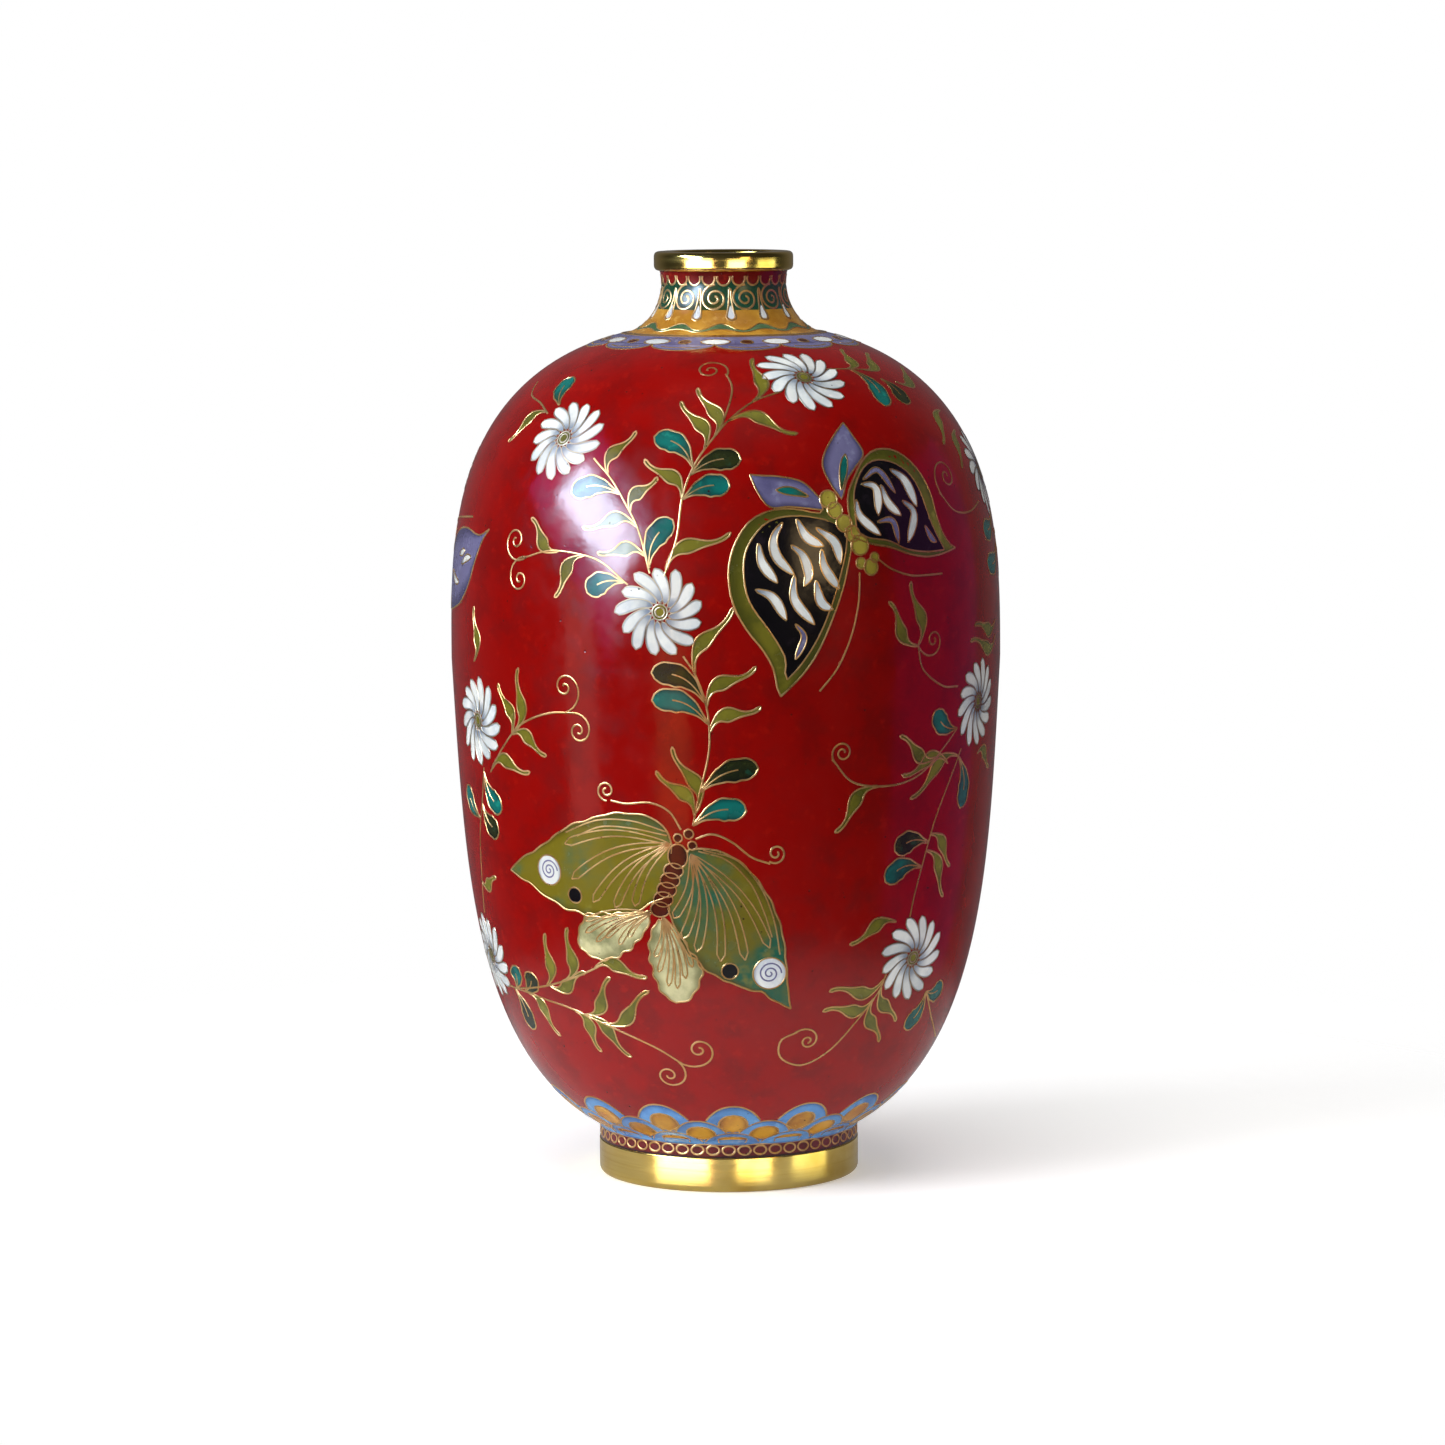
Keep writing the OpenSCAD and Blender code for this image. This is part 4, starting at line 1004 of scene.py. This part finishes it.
def leaf_line(place, sway, count):
    """Middle line: the straight way from base to tip, pushed towards the stem's growth by its length times
    sway(u)."""
    base, tip, grow = rooted(place)
    u = np.linspace(0, 1, count)
    reach = flat(base, tip)
    bow = 1.0 if reach[0] * grow[1] - reach[1] * grow[0] >= 0 else -1.0
    side = np.array([-reach[1], reach[0]]) * bow
    x, y = reach[0] * u + side[0] * sway(u), reach[1] * u + side[1] * sway(u)
    return beside(base[0], base[1], x, y), u


def olive_leaf(place):
    """A thin leaf: sway a sin(pi u)(1 - 1.3 u), half width a bell round u = 0.42 over a narrow tail."""
    swing = rng.uniform(0.26, 0.36)
    line, u = leaf_line(place, lambda u: swing * np.sin(math.pi * u) * (1 - 1.3 * u), 26)
    half = (0.12 + 0.16 * u + 0.95 * np.exp(-(((u - 0.42) / 0.19) ** 2))) * closed_ends(u, 0.04, 0.06)
    return edges(line, half)


def club_leaf(place):
    """A broad leaf: sway a sin(pi u), half width from 0.14 at the stalk to about 1.85 in the bulb."""
    swing = rng.uniform(0.12, 0.18)
    line, u = leaf_line(place, lambda u: swing * np.sin(math.pi * u), 24)
    swell = np.clip(u / 0.68, 0, 1)
    bulb = 1.66 * swell**2 * (3 - 2 * swell) * (1 + 0.05 * np.sin(u * 24))
    return edges(line, (0.14 + bulb) * closed_ends(u, 0.04, 0.3)), line[:17]


olive_cells, teal_cells, dark_cells, leaf_wires = [], [], [], []
for place in OLIVE_LEAVES:
    fill(olive_cells, leaf_wires, olive_leaf(place), CELL_UP, 4, LEAF_WIRE_W)
for cells, places in ((teal_cells, TEAL_LEAVES), (dark_cells, DARK_LEAVES)):
    for place in places:
        sides, vein = club_leaf(place)
        fill(cells, leaf_wires, sides, CELL_UP + 0.004, 5, LEAF_WIRE_W)
        leaf_wires.append(wire(vein, VEIN_W))
make_piece("olive_leaf_cells", both_faces(olive_cells), OLIVE, ["olive_leaves"])
make_piece("teal_leaf_cells", both_faces(teal_cells), TEAL, ["teal_leaves"])
make_piece("dark_leaf_cells", both_faces(dark_cells), DARK, ["dark_leaves"])
make_piece("leaf_outlines", both_faces(leaf_wires), GILT, ["leaf_wires"])

# %% [markdown]
# ## Butterflies
# Each face has two butterflies: a black one with white dashes, and an olive one whose wings are ribbed with
# long loops of wire. Blue ones sit between the faces. A wing is one cell between its leading and its trailing
# edge, and the marks are blades and discs laid over it.

# %% Wings


def spread(upper, lower, count=30):
    """Two edges of a wing, both bent smoothly from the body to the tip and cut into the same steps."""
    return even(smooth(upper), count), even(smooth(lower), count)


def blade(places, half, count=16):
    """Edges of a dash or a rib: a smooth middle line with a half width that swells towards its middle."""
    line = even(smooth(places), count)
    u = np.linspace(0, 1, count)
    return edges(line, half * (0.3 + 0.7 * np.sin(math.pi * u**1.3)) * closed_ends(u, 0.1, 0.2))


def hairpin(root, end, half=0.68, bend=0.1, count=18):
    """A rib: a loop of wire that leaves the root as a point and comes back round a blunt end. Its middle
    line bows sideways by bend * length * sin(pi u)."""
    reach = flat(root, end)
    u = np.linspace(0, 1, count)
    sway = bend * np.sin(math.pi * u)
    line = beside(root[0], root[1], reach[0] * u - reach[1] * sway, reach[1] * u + reach[0] * sway)
    return wire(loop(*edges(line, half * (0.1 + 0.9 * u**0.45) * closed_ends(u, 0.02, 0.09))), RIB_W)


def ruffled(line, depth, waves):
    """A line pushed from side to side by depth * sin(2 pi waves u), and not at its ends."""
    u = np.linspace(0, 1, len(line))
    return edges(line, depth * np.sin(2 * math.pi * waves * u) * np.sin(math.pi * u) ** 0.5)[0]


WING_KINDS = [
    "black", "border", "olive", "blue", "hind", "dash", "disc", "drop", "body", "brown", "wire", "antenna",
]
wings = {name: [] for name in WING_KINDS}
MARK_WIRE = (0.28, 0.085)
DASH_UP = 0.055
RIB_W, WING_WIRE_W = 0.26, 0.3


def wing(kind, upper, lower, lift, columns=8, ruffle=0.0, waves=6):
    """A wing cell and the wire round it."""
    sides = [ruffled(line, ruffle, waves) for line in spread(upper, lower, 48 if ruffle else 30)]
    fill(wings[kind], wings["wire"], sides, lift, columns, WING_WIRE_W)


def dash(places, half=0.75, kind="dash"):
    """A mark on a wing: a blade with its wire."""
    fill(wings[kind], wings["wire"], blade(places, half), DASH_UP, 4, *MARK_WIRE)


def ball(at, up, wide, kind="body", high=None, lift=0.05):
    """A round cell with its wire."""
    fill(wings[kind], wings["wire"], disc_edges(at, up, wide, high), lift, 5, *MARK_WIRE)


print("kinds of wing part:", len(WING_KINDS))

# %% The black butterfly
wing(
    "border",
    [
        (21.5, 117), (20, 115.8), (15, 116.6), (10, 116.5), (5.5, 115), (2.5, 112), (0.8, 108), (0.8, 104),
        (2, 100.5), (4.5, 97), (7.5, 94), (9.5, 91), (10.3, 87.8), (11, 86.6),
    ],
    [(27.5, 112), (26.5, 109.5), (24.5, 104), (22, 99), (19, 94), (16, 90.5), (12.5, 87.7), (11, 86.6)],
    0.025,
)
wing(
    "black",
    [
        (21, 114.8), (15.5, 115.5), (10, 115), (6.5, 113), (4, 109.5), (3.8, 105), (5, 101.5), (8, 98),
        (10.5, 95), (12, 92.5), (11.8, 89.8), (12.3, 89.3),
    ],
    [(26, 113), (25.5, 110), (24, 106), (21.5, 100.5), (18.5, 95.5), (15, 91.5), (12.3, 89.3)],
    0.04,
)
wing(
    "border",
    [
        (27, 112), (27, 118), (29.5, 121.5), (33, 124.5), (37, 126), (42, 125.8), (46, 124), (49, 121),
        (50.5, 117.5), (50.8, 114.5), (52, 111.5), (54, 109.5), (56, 108.7),
    ],
    [(27.5, 111.6), (31.5, 110.5), (36, 109.8), (41, 108.5), (46, 107.8), (51, 108), (56, 108.7)],
    0.025,
)
wing(
    "black",
    [
        (28.3, 113), (28.3, 116), (29, 119.5), (32, 122.8), (36, 124.2), (41, 123.6), (45, 121.5),
        (47, 118.5), (48, 115), (49.3, 112), (51.8, 108.8),
    ],
    [(28.7, 112.5), (31, 111.5), (36, 110.8), (40.5, 109.3), (46, 108.6), (51.8, 108.6)],
    0.04,
)
BLACK_DASHES = [
    [(6.8, 111.2), (7.5, 108), (10.5, 104.8)],
    [(12, 114.5), (10, 112), (10.5, 109), (14, 106)],
    [(15, 115), (17, 112), (20.5, 110.5)],
    [(13.5, 110.8), (16, 109), (17, 106), (16, 104.2)],
    [(20, 110), (20.5, 107), (23.5, 103.5)],
    [(6, 103.8), (9.5, 102.5), (12.2, 98.8)],
    [(14, 106), (14, 102), (18, 98)],
    [(18.5, 105), (19.5, 101.5), (22, 100.3)],
    [(19, 113.5), (23, 111), (24, 107.5)],
    [(29, 117.8), (29.5, 115), (34, 111.8)],
    [(31, 120.3), (34.5, 119.5), (34, 115)],
    [(36, 120), (37, 117), (40, 114.8)],
    [(41, 117.2), (43.8, 115), (41, 110.3)],
]
for places in BLACK_DASHES:
    dash(places)
dash([(39.5, 122.5), (43, 120.5), (45, 116)], 0.9)
for places in [
    [(14, 98.2), (15.8, 96), (14, 92.5)],
    [(31.5, 121), (36, 122.5), (39.5, 118.5)],
    [(33.5, 114), (37.5, 114), (38.5, 110.3)],
    [(46.5, 112.8), (48, 110.8), (49.5, 110)],
]:
    dash(places, 0.5, "blue")
wing(
    "blue",
    [(20.5, 118.3), (17, 121), (12, 122), (8, 122.2), (5.5, 122.4)],
    [(21, 116.3), (14, 117), (9.5, 117), (7, 119.5), (5.5, 122.4)],
    0.03, 6,
)
wing(
    "blue",
    [(25.5, 118), (23.5, 120.5), (22.3, 123.5), (23.5, 126), (27, 129), (30.5, 131.2)],
    [(26, 118.5), (27.5, 121), (30, 123), (33.3, 125.5), (32, 128.5), (30.5, 131.2)],
    0.03, 6,
)
for places in ([(18, 118.6), (14.5, 119.5), (11, 119.8)], [(25.8, 119.5), (27, 122.5), (28.5, 125.5)]):
    dash(places, 0.65, "drop")
for at, up, size in [
    (22.5, 118, 1.5), (23.7, 116.2, 1.3), (25.5, 114, 1.4), (27.2, 112.3, 1.3), (28.7, 110.4, 1.6),
    (31, 106.8, 1.3), (28.7, 107.5, 0.9), (32, 108.3, 0.8),
]:
    ball(at, up, size)
for places in [
    [(32.8, 108), (36, 106.3), (41, 105), (46, 104.8), (50.5, 104.8)],
    [(28.3, 106), (27.7, 101), (26, 96), (23, 91), (19, 87.2)],
]:
    wings["antenna"].append(wire(smooth(places)))
print("parts so far:", sum(len(parts) for parts in wings.values()))

# %% The olive butterfly
wing(
    "olive",
    [
        (-11.5, 62.5), (-12.5, 64.7), (-15.5, 66.8), (-20, 67.4), (-25, 67.2), (-30, 66), (-35, 64.7),
        (-40, 62.3), (-45, 60), (-50, 58.2), (-54, 56),
    ],
    [
        (-12.5, 54), (-17, 52.5), (-20, 51), (-26, 50), (-31, 49.8), (-34, 50.4), (-38, 50.8), (-41, 52),
        (-44, 52.6), (-46.5, 54), (-50, 54.8), (-54, 56),
    ],
    0.03, ruffle=0.1, waves=9,
)
wing(
    "olive",
    [
        (-8, 61.7), (-4, 61.9), (0, 61), (3, 59.5), (6, 57), (9, 53.5), (11, 50), (12.3, 46.5), (13.3, 41),
        (14, 37), (14.8, 34.4),
    ],
    [
        (-12.8, 51.8), (-10.5, 47), (-9, 44.5), (-6.5, 43), (-4.5, 41.2), (-2, 40.4), (-0.5, 39.5),
        (2, 39), (4.5, 38), (7.5, 37.7), (10, 36.3), (14.8, 34.4),
    ],
    0.03, ruffle=0.1, waves=9,
)
for end in [(-11.5, 50.3), (-9.7, 46.8), (-6.8, 44.6), (-1.7, 43), (3.5, 43.2), (8.8, 45.2)]:
    wings["wire"].append(hairpin((-7.5, 61), end))
for end in [(-20, 52.1), (-24.5, 51.6), (-29.8, 52.3), (-34.9, 55.9), (-36.3, 61.7)]:
    wings["wire"].append(hairpin((-11.8, 62.6), end, bend=-0.1))
for places in [
    [(-6, 61.5), (0, 60), (5, 56), (8, 51), (9.7, 47)],
    [(-5, 61.7), (2, 60), (7, 55.5), (10, 50), (11.6, 44)],
    [(-12.5, 64), (-20, 65), (-27, 65), (-33, 63.2)],
    [(-12.5, 64.6), (-20, 66.2), (-28, 66), (-36, 63.6)],
]:
    wings["wire"].append(wire(smooth(places), RIB_W))
wing(
    "hind",
    [(-17, 51.5), (-20, 50.8), (-31, 50.3), (-33.5, 48.5), (-35, 46), (-34.5, 44.2)],
    [
        (-17, 49.5), (-18.5, 47.5), (-20, 46.3), (-21.5, 45), (-23.5, 44), (-26, 43), (-30, 42.5),
        (-32.5, 43.3), (-34.5, 44.2),
    ],
    0.025, 6, ruffle=0.22,
)
wing(
    "hind",
    [(-15, 50), (-16.8, 47.5), (-17.5, 44.5), (-17, 41.5), (-16, 38.7), (-14.5, 36.8), (-12, 35.7)],
    [
        (-12, 49), (-9.5, 46.5), (-8, 44.5), (-6.5, 43), (-5.7, 40.7), (-6.8, 38.7), (-8, 37), (-10, 35.9),
        (-12, 35.7),
    ],
    0.025, 6, ruffle=0.22,
)
for end in [(-32.4, 49), (-32.6, 47), (-30, 45.6), (-27.4, 46.4), (-24.4, 45.4), (-22, 46.8)]:
    wings["wire"].append(hairpin((-16.6, 51), end, 0.42, -0.08))
for end in [(-16.2, 43.6), (-15.6, 41), (-13.6, 38.6), (-11.6, 38.2), (-9.6, 40), (-8, 42)]:
    wings["wire"].append(hairpin((-14, 50.4), end, 0.42, 0.08))
for at, up, size in [(-41.2, 57, 2.5), (9.4, 40.8, 2.7)]:
    ball(at, up, size, "disc")
    wings["blue"].append(wire(spiral(at, up, size * 0.72, 0, 2.2, 0.2), 0.3, 0.09))
for at, up, size in [(-34.6, 53.2, 1.3), (0.5, 41.3, 1.35)]:
    ball(at, up, size, "black")
ball(-10.3, 60.6, 1.6, "brown", 2.0)
for at, up in [(-11.3, 58.2), (-12.1, 56.6), (-12.9, 55), (-13.7, 53.4), (-14.5, 51.7)]:
    ball(at, up, 1.6, "brown", 1.25, 0.06)
for at, up, size in [(-10.2, 63.6, 0.7), (-7.9, 64.3, 0.75), (-7.2, 62.4, 0.7)]:
    ball(at, up, size, "brown")
for places in [
    [(-9.5, 65), (-12, 68), (-16, 69.3), (-21, 69), (-24.5, 69.4)],
    [(-6.5, 63.5), (-3, 64.3), (1, 63), (5, 60.5), (9, 59.3)],
]:
    wings["antenna"].append(wire(smooth(places)))
wings["antenna"] += [wire(spiral(-25.5, 71, 1.7, 270, -1.5)), wire(spiral(10.2, 61, 1.7, 230, 1.5))]
print("parts on one face:", sum(len(parts) for parts in wings.values()))

# %% The blue butterflies: one beside each face, the second smaller
wings = {kind: both_faces(parts) for kind, parts in wings.items()}
BLUE_UPPER = [(1.4, 1.2), (12, 5.5), (20, 6.6), (28, 5.8), (32.5, 7)]
BLUE_LOWER = [(1.4, -3.4), (6, -7.6), (17, -6.5), (22, -4.5), (25, -2), (27, 1), (30, 5), (32.5, 7)]
FEELERS = {1: [(1, 6.5), (8, 7.6), (16, 8.2), (23, 8.6)], -1: [(1, 6.5), (4, 7.2), (8, 7.1), (12, 6.6)]}
BLUE_MARKS = [[(17, 2), (20.5, 2.8)], [(19, 0.5), (22, 1.6), (25, 2)], [(10, -1), (14, -2.4), (17.5, -2.7)]]


def set_down(places, at, up, side, size):
    """A wing's places carried to a body: mirrored by the side, scaled by the size."""
    return [(at + side * size * a, up + size * b) for a, b in places]


for at, up, size in [(-92, 105, 1.0), (107, 105, 0.75)]:
    for side in (-1, 1):
        wing("blue", set_down(BLUE_UPPER, at, up, side, size), set_down(BLUE_LOWER, at, up, side, size), 0.03)
        for mark in BLUE_MARKS:
            dash(set_down(mark, at, up, side, size), 0.55 * size)
        feeler = set_down(FEELERS[side], at, up, side, size)
        wings["antenna"].append(wire(smooth(feeler)))
    for k, radius in enumerate([1.2, 1.5, 1.4, 1.3, 1.1]):
        ball(at, up + (5 - 2.6 * k) * size, radius * size)

# %% Butterfly pieces
WING_PIECES = {
    "black": ("black_enamel", BLACK, "black_wings"),
    "border": ("olive_enamel", OLIVE, "olive_wings"),
    "olive": ("olive_enamel", OLIVE_WING, "olive_wings"),
    "blue": ("lavender_enamel", LAVENDER, "blue_wings"),
    "hind": ("cream_enamel", CREAM, "hind_wings"),
    "dash": ("white_enamel", WHITE, "wing_dashes"),
    "disc": ("white_enamel", PEARL, "wing_spots"),
    "drop": ("teal_enamel", TEAL, "hind_wings"),
    "body": ("ochre_enamel", YELLOW, "butterfly_bodies"),
    "brown": ("maroon_enamel", BROWN, "butterfly_bodies"),
    "wire": ("gilt_wire", GILT, "wing_wires"),
    "antenna": ("gilt_wire", GILT, "antenna_wires"),
}
for kind, (slot, material, node) in WING_PIECES.items():
    make_piece(f"butterfly_{kind}", wings[kind], material, [node])

# %% [markdown]
# ## Light and floor
# Polished enamel is a dark mirror: it shows its deep colour only where the room it reflects is dim. So the
# vase stands on a small pale sheet in a dim room. Some lamps only light the colours, from the left, the top,
# the front and the back. Others are only mirrored: a soft window at the upper left with a violet halo, a warm
# streak and gleam, a weak violet one at the right, and broad ones that only the polished rings mirror.

# %% Floor
SHEET_R, SHEET_FADE_R = 0.07, 0.22
FLOOR_HALF = 1.5
floor_mesh = bpy.data.meshes.new("floor")
corners = [(x * FLOOR_HALF, y * FLOOR_HALF, 0) for x, y in ((-1, -1), (1, -1), (1, 1), (-1, 1))]
floor_mesh.from_pydata(corners, [], [(0, 1, 2, 3)])
floor = bpy.data.objects.new("floor", floor_mesh)
bpy.context.scene.collection.objects.link(floor)
floor_paint, floor_tree, floor_shader, floor_where = start_material("pale_floor")
floor_shader.inputs["Base Color"].default_value = paint(250, 250, 250)
floor_shader.inputs["Roughness"].default_value = 0.8
floor_shader.inputs["Emission Color"].default_value = (1.0, 1.0, 1.0, 1.0)
floor_shader.inputs["Emission Strength"].default_value = 0.32
far_out = add(floor_tree, "ShaderNodeVectorMath", {0: floor_where}, 1, operation="LENGTH")
mirrored = floor_tree.nodes.new("ShaderNodeLightPath").outputs["Is Glossy Ray"]
sheet = ramp(floor_tree, far_out, SHEET_R, SHEET_FADE_R, 1.0, 0.0)
dimmed = maths(floor_tree, "MULTIPLY", mirrored, 0.65)
feed(floor_tree, floor_shader.inputs["Alpha"], maths(floor_tree, "SUBTRACT", sheet, dimmed))
floor_mesh.materials.append(floor_paint)
print("the pale sheet fades out from", SHEET_R, "to", SHEET_FADE_R, "m")

# %% Room
room = bpy.data.worlds.new("room")
room.use_nodes = True
room_tree = room.node_tree
room_light = room_tree.nodes["Background"]
seen = room_tree.nodes.new("ShaderNodeLightPath").outputs["Is Camera Ray"]
way = room_tree.nodes.new("ShaderNodeTexCoord").outputs["Generated"]
depth = add(room_tree, "ShaderNodeSeparateXYZ", {0: way}, 1)
walls = blend(room_tree, ramp(room_tree, depth, 0.2, 0.95), (0.03, 0.03, 0.028, 1), (0.12, 0.115, 0.12, 1))
feed(room_tree, room_light.inputs["Color"], blend(room_tree, seen, walls, (1, 1, 1, 1)))
bpy.context.scene.world = room
bpy.context.scene.view_settings.view_transform = "Standard"
print("room:", room.name)

# %% Lamps
MIRROR, LIGHT = "mirror", "light"
LAMPS_LOOK_AT = (0.0, 0.0, 0.1)


def lamp(name, turn, rise, distance, wide, high, power, colour, work, roll=0.0, only_for=None):
    """A rectangular lamp that looks at the vase from a direction: turn round it from the front, rise over the
    floor, roll about its own line of sight. Its work is to be mirrored in the gloss, or to light the colour
    under it. One that is only for a collection lights nothing else."""
    a, e = math.radians(turn), math.radians(rise)
    light = bpy.data.lights.new(name, "AREA")
    light.shape = "RECTANGLE"
    light.size, light.size_y = wide, high
    light.energy = power
    light.color = colour
    made = bpy.data.objects.new(name, light)
    bpy.context.scene.collection.objects.link(made)
    made.location = np.array([math.sin(a) * math.cos(e), -math.cos(a) * math.cos(e), math.sin(e)]) * distance
    made.visible_glossy = work == MIRROR
    made.visible_diffuse = work == LIGHT
    aim(made, LAMPS_LOOK_AT)
    rolled = made.rotation_euler.to_matrix() @ Matrix.Rotation(math.radians(roll), 3, "Z")
    made.rotation_euler = rolled.to_euler()
    if only_for:
        made.light_linking.receiver_collection = only_for


# %% Which pieces a lamp lights
brass_rings = bpy.data.collections.new("brass_rings")
enamel_skin = bpy.data.collections.new("enamel_skin")
for piece in [o for o in bpy.data.objects if o.type == "MESH"]:
    (brass_rings if piece in (mouth_ring, foot_ring) else enamel_skin).objects.link(piece)

# %% The lamps set up
lamp("window_left", -58, 25, 1.0, 0.72, 0.28, 16.0, (0.62, 0.8, 1.0), MIRROR, roll=-30)
lamp("window_halo", -64, 28, 1.05, 1.1, 0.62, 3.2, (0.45, 0.2, 0.9), MIRROR, roll=-30, only_for=enamel_skin)
lamp("window_foot", -62, -3, 1.0, 0.24, 0.4, 0.2, (1.0, 0.8, 0.7), MIRROR)
lamp("streak", -22, -2, 0.9, 0.2, 0.4, 0.3, (1.0, 0.35, 0.12), MIRROR)
lamp("gleam", 36, 17, 0.9, 0.22, 0.22, 0.4, (1.0, 0.7, 0.35), MIRROR)
lamp("violet_right", 100, 6, 0.9, 0.9, 0.9, 0.42, (0.8, 0.06, 0.8), MIRROR, only_for=enamel_skin)
lamp("ring_left", -42, -1, 0.9, 0.78, 0.4, 6.5, (1.0, 0.98, 0.86), MIRROR, only_for=brass_rings)
lamp("ring_right", 22, -1, 0.9, 0.46, 0.36, 2.8, (1.0, 0.94, 0.7), MIRROR, only_for=brass_rings)
lamp("ring_side", 76, -1, 0.9, 0.6, 0.36, 1.3, (0.92, 0.95, 0.62), MIRROR, only_for=brass_rings)
lamp("key_left", -60, 27, 1.0, 0.6, 0.5, 9.5, (0.97, 0.97, 1.0), LIGHT)
lamp("top", 0, 80, 1.3, 1.0, 1.0, 10.5, (1.0, 1.0, 0.98), LIGHT)
lamp("front_left", -30, 20, 1.4, 0.8, 0.8, 3.4, (1.0, 0.94, 0.86), LIGHT)
lamp("front_right", 46, 15, 1.4, 0.6, 0.8, 3.4, (1.0, 0.92, 0.9), LIGHT)
lamp("fill_right", 130, 22, 1.4, 0.9, 0.8, 1.8, (1.0, 0.97, 0.94), LIGHT)
lamp("fill_back", 205, 25, 1.4, 0.9, 0.8, 1.6, (0.97, 0.98, 1.0), LIGHT)
